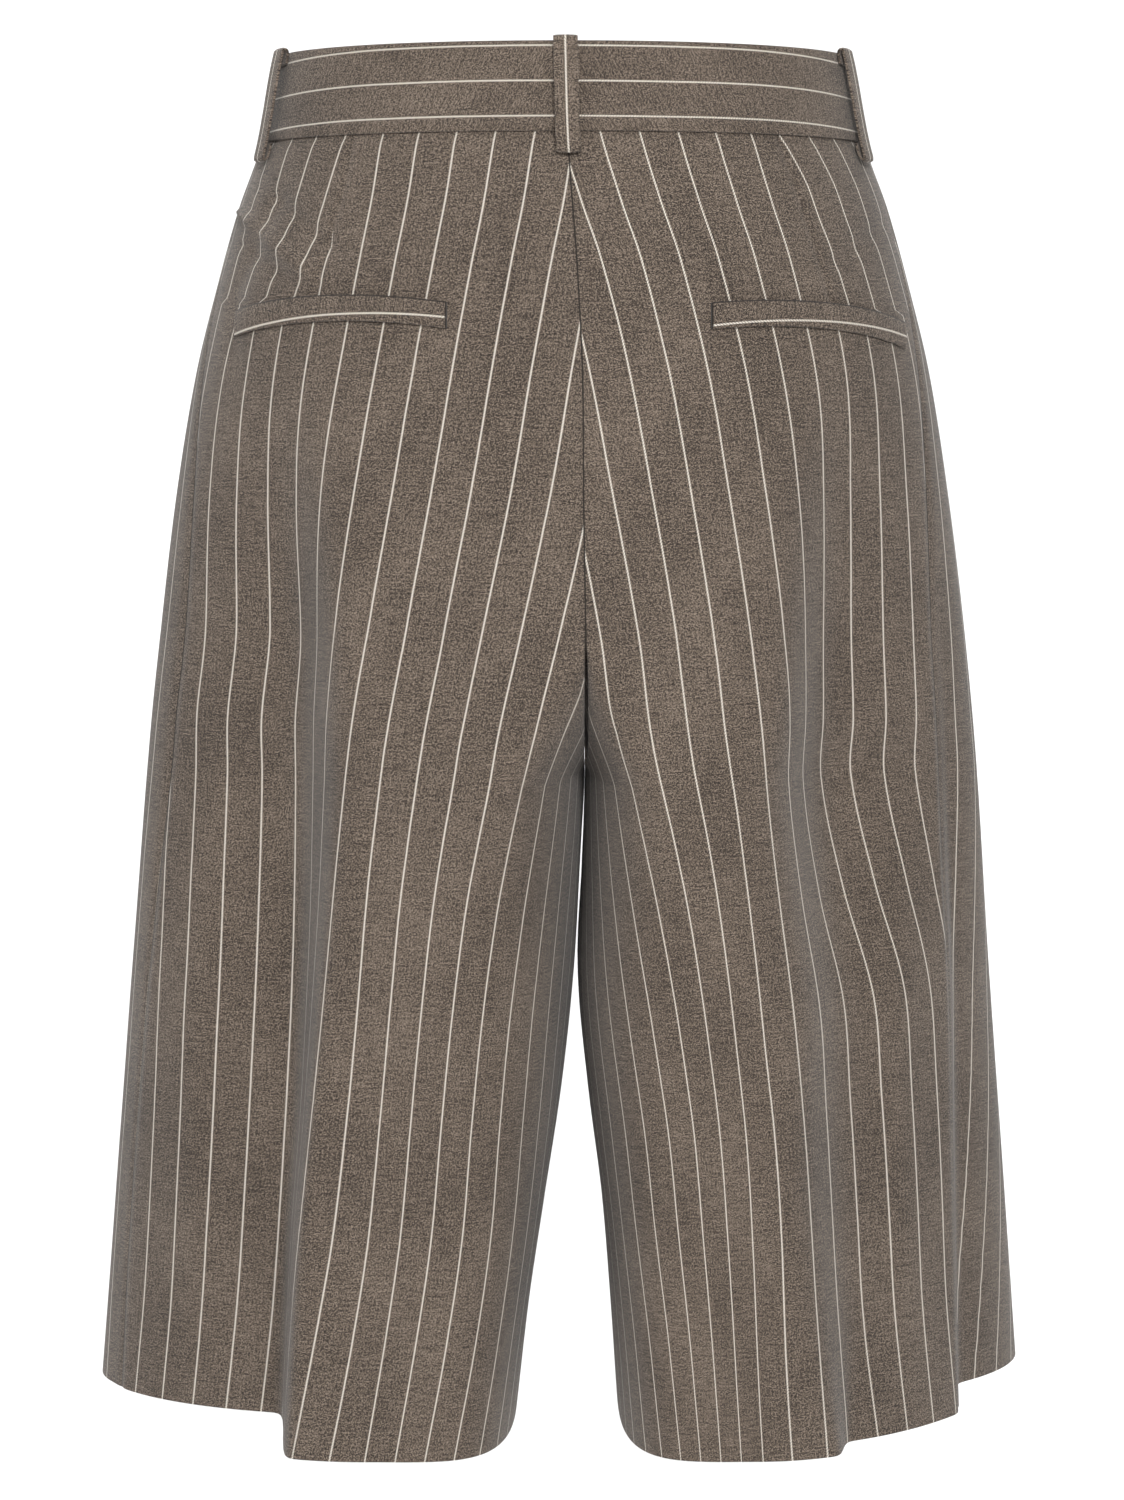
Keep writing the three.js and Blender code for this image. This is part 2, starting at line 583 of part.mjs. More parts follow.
// Zip and fly shield: straight strips behind the front seam, one inside the other
function addFlyLayer(name, halfWidth, length, depthIn, thickness, color) {
  const outer = [];
  const inner = [];
  const rows = 6;
  for (let r = 0; r <= rows; r += 1) {
    const z = -BAND_HEIGHT - 2 - ((length - 2) * r) / rows;
    const outerRow = [];
    const innerRow = [];
    for (let c = -3; c <= 3; c += 1) {
      const across = (halfWidth * c) / 3;
      const half = across >= 0 ? 'left' : 'right';
      const s = sectionAt(half, z).total - Math.max(Math.abs(across), SEAM_GAP);
      const normal = normalAt(half, s, z);
      if (c === 0) normal.x = 0;
      const base = pointAt(half, s, z);
      if (c === 0) base.x = 0;
      outerRow.push(base.clone().addScaledVector(normal, -depthIn));
      innerRow.push(base.clone().addScaledVector(normal, -depthIn - thickness));
    }
    outer.push(outerRow);
    inner.push(innerRow);
  }
  addPiece(name, wallGeometry(outer, inner), cloth(color));
}
const zipDepth = CLOTH + 2 * SEAM_GAP;
const shieldDepth = zipDepth + ZIP_THICKNESS + 2 * SEAM_GAP;
addFlyLayer('zip', ZIP_HALF_WIDTH, FLY_LENGTH - 15, zipDepth, ZIP_THICKNESS, ZIP_TAPE);
addFlyLayer('fly_shield', FLY_HALF_WIDTH, FLY_LENGTH, shieldDepth, CLOTH, TWILL);

// Button that closes the lap, a flat disc with four thread holes
function addButton() {
  const outline = new THREE.Shape().absarc(0, 0, BUTTON_RADIUS, 0, 2 * Math.PI, false);
  for (const [u, v] of [[1, 1], [-1, 1], [-1, -1], [1, -1]]) {
    const hole = new THREE.Path();
    const x = (u * BUTTON_HOLE_OFFSET) / Math.SQRT2;
    const y = (v * BUTTON_HOLE_OFFSET) / Math.SQRT2;
    hole.absarc(x, y, BUTTON_HOLE_RADIUS, 0, 2 * Math.PI, true);
    outline.holes.push(hole);
  }
  const geometry = new THREE.ExtrudeGeometry(outline, {
    depth: BUTTON_THICKNESS, bevelEnabled: false, curveSegments: 12,
  });
  geometry.rotateX(Math.PI / 2);
  const lapFace = waistPoint('right', 0, 0, bandMiddle, BAND_PROUD + lapRise(0));
  geometry.translate(0, lapFace.y - BUTTON_STAND, bandMiddle);
  const horn = new THREE.MeshStandardMaterial({ color: HORN, roughness: 0.35, metalness: 0 });
  addPiece('button', geometry, horn);
}
addButton();

export default group;
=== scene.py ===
import math

import bmesh
import bpy
import numpy as np
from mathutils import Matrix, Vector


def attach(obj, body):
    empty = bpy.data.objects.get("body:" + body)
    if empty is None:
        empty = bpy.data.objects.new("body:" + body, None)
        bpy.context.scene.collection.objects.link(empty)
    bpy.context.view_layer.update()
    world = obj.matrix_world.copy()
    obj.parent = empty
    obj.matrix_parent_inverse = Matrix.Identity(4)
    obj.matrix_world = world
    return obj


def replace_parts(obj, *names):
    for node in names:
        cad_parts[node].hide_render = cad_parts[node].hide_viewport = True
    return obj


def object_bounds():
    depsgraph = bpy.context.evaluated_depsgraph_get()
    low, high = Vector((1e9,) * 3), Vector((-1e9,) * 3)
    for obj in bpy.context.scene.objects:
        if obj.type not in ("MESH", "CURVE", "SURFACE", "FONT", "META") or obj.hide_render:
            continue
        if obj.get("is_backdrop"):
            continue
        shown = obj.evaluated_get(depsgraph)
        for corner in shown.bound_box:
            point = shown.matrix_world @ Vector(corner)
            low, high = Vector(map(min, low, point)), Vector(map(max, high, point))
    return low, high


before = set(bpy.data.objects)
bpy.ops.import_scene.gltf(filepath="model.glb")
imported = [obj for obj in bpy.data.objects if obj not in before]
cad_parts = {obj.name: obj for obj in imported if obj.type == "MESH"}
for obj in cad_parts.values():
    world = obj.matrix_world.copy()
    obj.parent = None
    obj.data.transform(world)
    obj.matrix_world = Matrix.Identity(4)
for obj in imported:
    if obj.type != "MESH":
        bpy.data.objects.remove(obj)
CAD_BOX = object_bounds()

# Camera: a long lens at the height of the hips, behind the garment, whose back shows.
# The frame is 1124 x 1500, so the sensor's 36 mm lie along its long side.
CAMERA_DISTANCE = 1.645
CAMERA_HEIGHT = -0.1495
CAMERA_TILT = math.radians(6.08)
LENS_MM = 82.9

camera_data = bpy.data.cameras.new("camera")
camera_data.lens = LENS_MM
camera_data.sensor_width = 36
camera_data.sensor_fit = "AUTO"
camera_data.clip_end = 30
camera = bpy.data.objects.new("camera", camera_data)
camera.location = (0.0005, CAMERA_DISTANCE, CAMERA_HEIGHT)
camera.rotation_euler = (math.pi / 2 - CAMERA_TILT, 0, math.pi)
bpy.context.collection.objects.link(camera)
bpy.context.scene.camera = camera


# Stage: a pale paper sweep that runs from the floor up behind the garment, and soft
# lamps. The shorts are held up at the waist, so the floor lies well below the hems.
FLOOR_Z = -0.86
SWEEP_START = -0.9
SWEEP_RADIUS = 0.9
PAPER_NEAR = 3.2
PAPER_TOP = 3.4
PAPER_HALF_WIDTH = 4


def grid_quads(index):
    """The cells of a grid of point numbers as quads, in the order of the grid."""
    corners = [index[:-1, :-1], index[1:, :-1], index[1:, 1:], index[:-1, 1:]]
    return np.stack(corners, axis=-1).reshape(-1, 4)


def face_mesh(name, points, quads, uvs=()):
    """Smooth object from points and quads. Each UV map has a value for each point."""
    mesh = bpy.data.meshes.new(name)
    mesh.vertices.add(len(points))
    mesh.vertices.foreach_set("co", np.asarray(points, np.float32).ravel())
    mesh.loops.add(quads.size)
    mesh.loops.foreach_set("vertex_index", quads.ravel().astype(np.int32))
    mesh.polygons.add(len(quads))
    starts = np.arange(0, quads.size, quads.shape[1], dtype=np.int32)
    mesh.polygons.foreach_set("loop_start", starts)
    mesh.update(calc_edges=True)
    for layer, values in uvs:
        at_corners = values[quads.ravel()].astype(np.float32).ravel()
        mesh.uv_layers.new(name=layer).uv.foreach_set("vector", at_corners)
    mesh.polygons.foreach_set("use_smooth", np.ones(len(quads), bool))
    mesh.validate()
    piece = bpy.data.objects.new(name, mesh)
    bpy.context.collection.objects.link(piece)
    return piece


class Wire:
    """A socket of one shader tree. Sums, products and so on of wires add Math nodes."""

    def __init__(self, tree, socket=None):
        self.tree, self.socket = tree, socket

    def node(self, kind, settings=(), out=0, **sockets):
        """Adds a node: its settings first, then its sockets, by name with _ for a space."""
        node = self.tree.nodes.new(kind)
        for key, value in dict(settings).items():
            if key == "stops":
                ramp = node.color_ramp
                while len(ramp.elements) < len(value):
                    ramp.elements.new(0.5)
                for element, (position, color) in zip(ramp.elements, value):
                    element.position, element.color = position, (*color, 1)
            else:
                setattr(node, key, value)
        for key, value in sockets.items():
            name = key.replace("_", " ")
            index = int(name[1:]) if name[0] == "i" and name[1:].isdigit() else name
            if isinstance(value, Wire):
                self.tree.links.new(value.socket, node.inputs[index])
            elif isinstance(value, tuple) and len(value) == 3 and node.inputs[index].type == "RGBA":
                node.inputs[index].default_value = (*value, 1)
            else:
                node.inputs[index].default_value = value
        return Wire(self.tree, node.outputs[out])

    def output(self, index):
        """Another output of the node that this wire comes from."""
        return Wire(self.tree, self.socket.node.outputs[index])

    def feed(self, node, name):
        """Links this wire to a node's input."""
        self.tree.links.new(self.socket, node.inputs[name])

    def math(self, operation, a, b=0.0, c=0.0):
        return self.node("ShaderNodeMath", {"operation": operation}, i0=a, i1=b, i2=c)

    def __add__(self, other):
        return self.math("ADD", self, other)

    def __radd__(self, other):
        return self.math("ADD", other, self)

    def __sub__(self, other):
        return self.math("SUBTRACT", self, other)

    def __rsub__(self, other):
        return self.math("SUBTRACT", other, self)

    def __mul__(self, other):
        return self.math("MULTIPLY", self, other)

    def __rmul__(self, other):
        return self.math("MULTIPLY", other, self)

    def __truediv__(self, other):
        return self.math("DIVIDE", self, other)

    def step(self, low, high):
        """0 below low, 1 above high, smooth between."""
        settings = {"interpolation_type": "SMOOTHSTEP"}
        return self.node("ShaderNodeMapRange", settings, Value=self, From_Min=low, From_Max=high)

    def tint(self, first, second):
        """Colour between first and second, by this wire."""
        settings = {"data_type": "RGBA", "clamp_factor": True}
        return self.node("ShaderNodeMix", settings, out=2, i0=self, i6=first, i7=second)


def new_material(name, **constants):
    """A material, a Wire on its tree and its shader node, with constants set on the shader."""
    material = bpy.data.materials.new(name)
    material.use_nodes = True
    tree = material.node_tree
    shader = tree.nodes["Principled BSDF"]
    for key, value in constants.items():
        shader.inputs[key.replace("_", " ")].default_value = value
    return material, Wire(tree), shader


def srgb(r, g, b):
    """Linear colour from the 0-255 values of a screen."""
    c = np.array([r, g, b]) / 255
    linear = np.where(c <= 0.04045, c / 12.92, ((c + 0.055) / 1.055) ** 2.4)
    return tuple(float(v) for v in linear)


turn = np.linspace(0, math.pi / 2, 24)
sweep_y = SWEEP_START - SWEEP_RADIUS * np.sin(turn)
sweep_y = np.concatenate([[PAPER_NEAR, 0.5], sweep_y, [SWEEP_START - SWEEP_RADIUS]])
sweep_z = np.concatenate([[0, 0], SWEEP_RADIUS * (1 - np.cos(turn)), [PAPER_TOP]]) + FLOOR_Z
across = np.linspace(-PAPER_HALF_WIDTH, PAPER_HALF_WIDTH, 9)
sheet = np.stack(np.broadcast_arrays(across[None, :], sweep_y[:, None], sweep_z[:, None]), axis=-1)
numbers = np.arange(len(sweep_y) * len(across)).reshape(len(sweep_y), len(across))
backdrop = face_mesh("backdrop", sheet.reshape(-1, 3), grid_quads(numbers))
paper, wire, shader = new_material("paper", Roughness=0.95)
coords = wire.node("ShaderNodeTexCoord", out=3)
grain = wire.node("ShaderNodeTexNoise", Vector=coords, Scale=60.0, Detail=3.0)
grain.tint((0.9, 0.9, 0.9), (0.94, 0.94, 0.94)).feed(shader, "Base Color")
# The paper is clear from its back, so that the front of the shorts can be looked at too
clear = wire.node("ShaderNodeBsdfTransparent")
one_way = wire.node("ShaderNodeMixShader", i0=wire.node("ShaderNodeNewGeometry", out=6),
                    i1=Wire(wire.tree, shader.outputs[0]), i2=clear)
one_way.feed(wire.tree.nodes["Material Output"], "Surface")
backdrop.data.materials.append(paper)
backdrop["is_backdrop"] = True

WORLD_LIGHT = 0.22
world = bpy.data.worlds.new("studio")
world.use_nodes = True
world.node_tree.nodes["Background"].inputs["Color"].default_value = (1, 1, 1, 1)
world.node_tree.nodes["Background"].inputs["Strength"].default_value = WORLD_LIGHT
bpy.context.scene.world = world
bpy.context.scene.view_settings.view_transform = "Standard"

# Lamps: place, aim, size in metres and power in watts
LAMPS = {
    "key": ((-0.3, 2.7, 0.8), (0, 0, -0.3), 0.8, 82),
    "fill": ((1.7, 1.6, 0.5), (0, 0, -0.3), 1.6, 8),
    "front": ((0.4, -1.6, 1.5), (0, 0, -0.3), 1.6, 24),
    "backdrop": ((0, -0.6, 2.2), (0, -1.6, 0.2), 2.5, 52),
}
for name, (place, aim, size, power) in LAMPS.items():
    lamp = bpy.data.lights.new(name, "AREA")
    lamp.size, lamp.energy = size, power
    holder = bpy.data.objects.new(name, lamp)
    holder.location = place
    away = np.array(place) - np.array(aim)
    flat = math.hypot(away[0], away[1])
    holder.rotation_euler = (math.atan2(flat, away[2]), 0, math.atan2(away[0], -away[1]))
    bpy.context.collection.objects.link(holder)


# Trouser cloth: the four cut panels of the body, one back and one front for each leg,
# in wool twill with a woven pinstripe. They are sewn to each other down the middle
# seams, side seams and inseams, and the darts and hems are part of them.
#
# Worn form, a row for each height. Millimetres, as on a cutting table; meshes are in
# metres. side is the half width, seat and front the furthest depths behind and before
# the middle, and squareFront the exponent of the front's corners.
MM = 0.001
LENGTH = 628
CROTCH_DROP = 330
BAND_HEIGHT = 39
SEAT_TURN_DROP = 262
FRONT_TURN_DROP = 240
LEGS_PART = 40
INSEAM_DEPTH = 0
CLOTH = 1.5
STRIPE_SPACING = 17.6
FORM = {
    "columns": ["z", "side", "seat", "front", "squareFront"],
    "rows": [
        [0, 134, 98, -92, 2.2],
        [-40, 141.8, 104, -97, 2.2],
        [-70, 152.5, 110, -101, 2.2],
        [-105, 162.5, 116, -104, 2.2],
        [-145, 172.6, 120, -107, 2.2],
        [-200, 182.2, 124, -110, 2.2],
        [-260, 190.4, 126, -112, 2.2],
        [-330, 198.4, 126, -115, 2.2],
        [-430, 206.6, 126, -120, 2.15],
        [-530, 215.7, 126, -125, 2.1],
        [-628, 224.5, 126, -130, 2.1],
    ],
}

# The two halves, a row for each height, as distances outward from the garment's middle
# plane: depth and squareness of the back, the middle seams, the back's crest, the side
# seam, the front's crest, the squareness of the inner wall, the depth of the widest
# point, the line of the back's main fold, the share of the depth that drops past it and
# how sharply, the drop past the side seam, and the stripe that the cloth is laid by. The
# stripes run a share easeIn closer inside the leg, and easeOut millimetres past the fold.
HALF_COLUMNS = ["z", "back", "squareBack", "backSeam", "frontSeam", "backCrest", "sideSeam",
                "frontCrest", "corner", "turn", "fold", "drop", "bend", "seamDrop", "stripe",
                "easeIn", "easeOut"]
HALVES = {
    "left": {
        "sign": 1,
        "columns": HALF_COLUMNS,
        "rows": [
            [0, 98, 2.1, -1, 0, -1, 133.5, 0, 2.2, 3, 118, 0, 14, 0, 22, 0, 0],
            [-40, 104, 2.1, -2, 0, -2, 141.3, 0, 2.2, 3, 118, 0, 14, 0, 30, 0, 0],
            [-70, 110, 2.1, -4, 0, -4, 151.3, 0, 2.2, 2, 118, 0, 14, 0, 34.8, 0, 0],
            [-96, 115, 2.15, -6, 0, -6, 158.5, 0, 2.2, 2, 118, 0, 14, 0, 40, 0, 0],
            [-145, 120, 2.3, -8.5, 0, -8.5, 167, 0, 2.2, 1, 118, 0.03, 14, 0, 49, 0, 0],
            [-200, 124, 2.6, -9, 0, -9, 171, 0, 2.2, 0, 115, 0.18, 12, 0, 58.5, 0, 0],
            [-262, 126, 2.5, -10, -3, -10, 176, 0, 2.2, 0, 111, 0.31, 9, 0, 69.5, 0.03, 0],
            [-303, 126.5, 2.45, -10.4, -7, 20, 181, 20, 2.2, 0, 111, 0.36, 8, 0, 76.5, 0.07, 3],
            [-330, 127.5, 2.35, -10.4, -10.4, 38, 184, 35, 2.3, 0, 111, 0.42, 8.5, 0, 80.5, 0.09, 5],
            [-380, 130, 2.5, -8, -8, 58, 190, 55, 2.7, 0, 112, 0.42, 7, 0.01, 86, 0.19, 3],
            [-430, 133, 2.7, -5, -5, 68, 195, 66, 3, 0, 114.5, 0.36, 5, 0.03, 90.5, 0.27, -3],
            [-480, 137, 2.5, 0.5, 0.5, 75, 200, 75, 3.4, 0, 118, 0.37, 3.5, 0.05, 96, 0.29, 0],
            [-530, 141, 2.3, 8.3, 8.3, 80, 205, 83, 3.8, 0, 122.5, 0.41, 3, 0.06, 102.5, 0.27, 5],
            [-577, 145, 2.1, 15.5, 15.5, 84, 209, 90, 4.2, 0, 125.5, 0.45, 2.8, 0.07, 111, 0.28, 8],
            [-628, 149, 2, 21.5, 21.5, 86, 212, 95, 4.5, 0, 128, 0.47, 2.5, 0.08, 121, 0.34, 9],
        ],
    },
    "right": {
        "sign": -1,
        "columns": HALF_COLUMNS,
        "rows": [
            [0, 98, 2.1, 1, 0, 1, 133.5, 0, 2.2, 3, 118, 0, 14, 0, 26, 0, 0],
            [-40, 104, 2.1, 2, 0, 2, 141.3, 0, 2.2, 3, 118, 0, 14, 0, 34, 0, 0],
            [-70, 110, 2.1, 4, 0, 4, 151, 0, 2.2, 2, 118, 0, 14, 0, 43, 0, 0],
            [-96, 115, 2.1, 6, 0, 6, 157.5, 0, 2.2, 2, 118, 0, 14, 0, 51.8, 0, 0],
            [-145, 120, 2.1, 8.5, 0, 8.5, 165, 0, 2.2, 1, 118, 0.03, 14, 0, 64, 0, 0],
            [-200, 124, 2.05, 9, 0, 9, 169, 0, 2.2, 0, 114, 0.16, 12, 0, 73.5, 0.01, 0],
            [-262, 126, 2.05, 10, 3, 10, 172, 0, 2.2, 0, 111, 0.29, 11, 0.06, 83, 0.04, 0],
            [-303, 126.5, 2, 10.4, 7, 32, 175, 20, 2.2, -3, 109, 0.33, 10, 0.12, 87.5, 0.06, 2],
            [-330, 127.5, 1.95, 10.4, 10.4, 46, 177, 35, 2.3, -5, 107, 0.4, 11, 0.16, 90, 0.12, 5],
            [-380, 130, 1.9, 9, 9, 62, 179, 55, 2.7, -9, 111, 0.33, 11, 0.22, 96, 0.28, 7],
            [-430, 133, 1.9, 7, 7, 70, 181, 66, 3, -13, 117, 0.22, 10, 0.28, 102.5, 0.42, 8],
            [-480, 137, 1.9, 11.5, 11.5, 75, 182.5, 75, 3.4, -17, 117, 0.22, 11, 0.32, 107.5, 0.53, 6.5],
            [-530, 141, 1.87, 18, 18, 80, 183.5, 83, 3.8, -21, 119, 0.2, 10, 0.36, 111, 0.63, 6],
            [-577, 145, 1.85, 22, 22, 84, 184.5, 90, 4.2, -25, 123, 0.16, 7, 0.4, 114, 0.82, 6],
            [-628, 148.5, 1.85, 25.5, 25.5, 86, 185.5, 95, 4.5, -30, 126.5, 0.11, 2, 0.43, 118, 0.98, 8],
        ],
    },
}

# Main folds, a row for each: where its line runs at its top, middle and end, the heights
# where it starts, is full and ends, how wide the cloth swells before the line and sinks
# after it, how far it does both, and over what distance it turns.
FOLD_COLUMNS = ["half", "face", "top", "middle", "end", "zTop", "zFull", "zEnd",
                "before", "after", "swell", "sink", "turn"]
FOLDS = [
    ["left", "back", 122, 136, 150, -50, -75, -108, 9, 9, -1.6, 1.6, 6],
    ["left", "front", 80, 92, 104, -120, -420, -628, 40, 44, 4, 12, 12],
    ["left", "front", 150, 165, 180, -240, -480, -628, 34, 30, 4, 10, 12],
    ["right", "front", 84, 90, 100, -120, -420, -628, 40, 44, 4, 12, 12],
    ["right", "front", 152, 166, 182, -240, -480, -628, 34, 30, 4, 10, 12],
]
FOLD_ROWS = [dict(zip(FOLD_COLUMNS, row)) for row in FOLDS]
FADE_LENGTH = 60
SEAM_BEND = 1.6
CURVE_STEPS = 160


def column(table, name, z):
    """Smooth curve through one column of a table at heights z: a cubic between each
    pair of rows, with slopes taken from the rows on either side."""
    data = np.array(table["rows"], float)
    knots = -data[:, 0]
    values = data[:, table["columns"].index(name)]
    slopes = np.empty_like(values)
    slopes[1:-1] = (values[2:] - values[:-2]) / (knots[2:] - knots[:-2])
    slopes[0] = (values[1] - values[0]) / (knots[1] - knots[0])
    slopes[-1] = (values[-1] - values[-2]) / (knots[-1] - knots[-2])
    drop = -np.asarray(z, float)
    i = np.clip(np.searchsorted(knots, drop, side="right") - 1, 0, len(knots) - 2)
    step = knots[i + 1] - knots[i]
    t = (drop - knots[i]) / step
    a, b = values[i], values[i + 1]
    da, db = slopes[i] * step, slopes[i + 1] * step
    return a + t * (da + t * (3 * (b - a) - 2 * da - db + t * (da + db - 2 * (b - a))))


def smooth(t):
    """Rises from 0 to 1 as t does, level at both ends: 3 t squared minus 2 t cubed."""
    t = np.clip(t, 0, 1)
    return t * t * (3 - 2 * t)


def parabola(first, middle, last, t):
    """Through first at t = 0, middle at 0.5 and last at 1."""
    return first * (1 - t) * (1 - 2 * t) + middle * 4 * t * (1 - t) + last * t * (2 * t - 1)


def seam_depth(depth, turn_drop, z):
    """A middle seam hangs at its depth, then turns under in a quarter of an ellipse."""
    t = np.clip((-z - turn_drop) / (CROTCH_DROP - turn_drop), 0, 1)
    return INSEAM_DEPTH + (depth - INSEAM_DEPTH) * np.sqrt(1 - t * t)


def inner_wall(seam_x, seam_y, crest_x, crest_y, power):
    """From a middle seam to the crest: part of a superellipse that starts on the seam,
    x by 1 - cos^(2/power) and y by sin^(2/power) of an angle, a row for each height."""
    reach = crest_y - INSEAM_DEPTH
    start = np.arcsin(np.clip((seam_y - INSEAM_DEPTH) / reach, 0, 1) ** (power / 2))
    steps = np.linspace(0, 1, CURVE_STEPS, endpoint=False)
    angle = start[:, None] + (np.pi / 2 - start)[:, None] * steps
    power = power[:, None]
    swing = 1 - np.clip(np.cos(angle), 0, 1) ** (2 / power)
    first = swing[:, :1]
    across = np.where(first < 1 - 1e-6, (swing - first) / np.maximum(1 - first, 1e-6), 0)
    x = seam_x[:, None] + (crest_x - seam_x)[:, None] * across
    return x, INSEAM_DEPTH + reach[:, None] * np.sin(angle) ** (2 / power)


def outer_wall(crest_x, crest_y, side_x, side_y, power):
    """From the crest to the side: a quarter of a superellipse, a row for each height."""
    angle = np.linspace(0, np.pi / 2, CURVE_STEPS + 1)[None, :]
    power = power[:, None]
    x = crest_x[:, None] + (side_x - crest_x)[:, None] * np.sin(angle) ** (2 / power)
    y = side_y[:, None] + (crest_y - side_y)[:, None] * np.clip(np.cos(angle), 0, 1) ** (2 / power)
    return x, y


def ledge(x, y, floor, line, share, bend):
    """Lowers the depth y over its floor by a share of it, past a line and within bend."""
    past = 0.5 * (1 + np.tanh((x - line[:, None]) / bend[:, None]))
    return floor[:, None] + (y - floor[:, None]) * (1 - share[:, None] * past)


def arc(x, y):
    """Length along each row of points, from its first point."""
    steps = np.hypot(np.diff(x, axis=1), np.diff(y, axis=1))
    return np.concatenate([np.zeros((len(x), 1)), np.cumsum(steps, axis=1)], axis=1)


def rows_interp(at, xs, ys):
    """np.interp on each row."""
    return np.array([np.interp(a, x, y) for a, x, y in zip(at, xs, ys)])


class Half:
    """The whole section of one half at many heights: from its back seam over the crest
    of the back, the side and the crest of the front to its front seam, folds included."""

    def __init__(self, name, z):
        self.name, self.z = name, np.asarray(z, float)
        half = HALVES[name]
        self.sign = half["sign"]
        form = lambda c: column(FORM, c, self.z)
        own = lambda c: column(half, c, self.z)
        back_seam, front_seam = own("backSeam"), own("frontSeam")
        seat, front = form("seat"), -form("front")
        back = seat + (own("back") - seat) * smooth((-self.z - SEAT_TURN_DROP) / LEGS_PART)
        back_crest = np.maximum(own("backCrest"), back_seam)
        front_crest = np.maximum(own("frontCrest"), front_seam)
        back_depth = seam_depth(seat, SEAT_TURN_DROP, self.z)
        front_depth = seam_depth(front, FRONT_TURN_DROP, self.z)
        parts = [
            inner_wall(back_seam, back_depth, back_crest, back, own("corner")),
            outer_wall(back_crest, back, form("side"), own("turn"), own("squareBack")),
            outer_wall(front_crest, front, form("side"), -own("turn"), form("squareFront")),
            inner_wall(front_seam, front_depth, front_crest, front, own("corner")),
        ]
        wall_x, wall_y = parts[1]
        wall_y = ledge(wall_x, wall_y, own("turn"), own("fold"), own("drop"), own("bend"))
        seam_line = own("sideSeam") + SEAM_BEND
        seam_bend = np.full_like(seam_line, SEAM_BEND)
        wall_y = ledge(wall_x, wall_y, own("turn"), seam_line, own("seamDrop"), seam_bend)
        parts[1] = (wall_x, wall_y)
        parts[2] = (parts[2][0][:, -2::-1], -parts[2][1][:, -2::-1])
        parts[3] = (parts[3][0][:, ::-1], -parts[3][1][:, ::-1])
        x = np.concatenate([p[0] for p in parts], axis=1)
        y = np.concatenate([p[1] for p in parts], axis=1)
        base = arc(x, y)
        crest, turn = CURVE_STEPS, 2 * CURVE_STEPS
        front_end = 3 * CURVE_STEPS
        stretch = {"back": slice(crest, turn + 1), "front": slice(front_end, turn - 1, -1)}
        place = lambda face, x0: rows_interp(x0, x[:, stretch[face]], base[:, stretch[face]])
        out = np.zeros_like(x)
        for fold in FOLD_ROWS:
            if fold["half"] == name:
                line = place(fold["face"], self.fold_line(fold))
                out += self.fold_shape(fold, base - line[:, None])
        dx, dy = np.gradient(x, axis=1), np.gradient(y, axis=1)
        run = np.maximum(np.hypot(dx, dy), 1e-9)
        moving = run > 1e-7
        self.x = np.where(moving, x - out * dy / run, x)
        self.y = np.where(moving, y + out * dx / run, y)
        self.s = arc(self.x, self.y)
        where = lambda b: rows_interp(b, base, self.s)
        self.along = lambda face, x0: where(place(face, np.broadcast_to(x0, self.z.shape)))
        self.side = self.along("back", own("sideSeam"))
        self.total = self.s[:, -1]
        self.outer = {"back": self.side - self.s[:, crest],
                      "front": self.s[:, front_end] - self.side}
        self.stripe = self.along("back", own("stripe"))
        self.ease = own("easeIn"), own("easeOut"), own("fold"), own("bend")

    def fold_line(self, fold):
        """The fold's distance outward at each height: a parabola through three values."""
        d = np.clip((fold["zTop"] - self.z) / (fold["zTop"] - fold["zEnd"]), 0, 1)
        return parabola(fold["top"], fold["middle"], fold["end"], d)

    def fold_shape(self, fold, q):
        """Swell before the line and sink after it, each a bell, parted by tanh(q / turn)."""
        strength = smooth((fold["zTop"] - self.z) / (fold["zTop"] - fold["zFull"]))
        if fold["zEnd"] > -LENGTH:
            strength = strength * smooth((self.z - fold["zEnd"]) / FADE_LENGTH + 1)
        past = np.tanh(q / fold["turn"])
        swell = fold["swell"] * 0.5 * (1 - past) * np.exp(-((q / fold["before"]) ** 2))
        sink = fold["sink"] * 0.5 * (1 + past) * np.exp(-((q / fold["after"]) ** 2))
        return strength[:, None] * (swell - sink)

    def point(self, s):
        """Points at arc distances s from the back seam, a row of them for each height."""
        x = rows_interp(s, self.s, self.x)
        y = rows_interp(s, self.s, self.y)
        return np.stack([self.sign * x, y, np.broadcast_to(self.z[:, None], x.shape)], axis=2)


def facing_out(points, quads):
    """The quads of a closed solid, turned round where they enclose a negative volume."""
    corner = points[quads]
    volume = np.einsum("ij,ij->", corner[:, 0], np.cross(corner[:, 1], corner[:, 2]))
    volume += np.einsum("ij,ij->", corner[:, 0], np.cross(corner[:, 2], corner[:, 3]))
    return quads[:, ::-1] if volume < 0 else quads


PANEL_SHARP = math.radians(55)


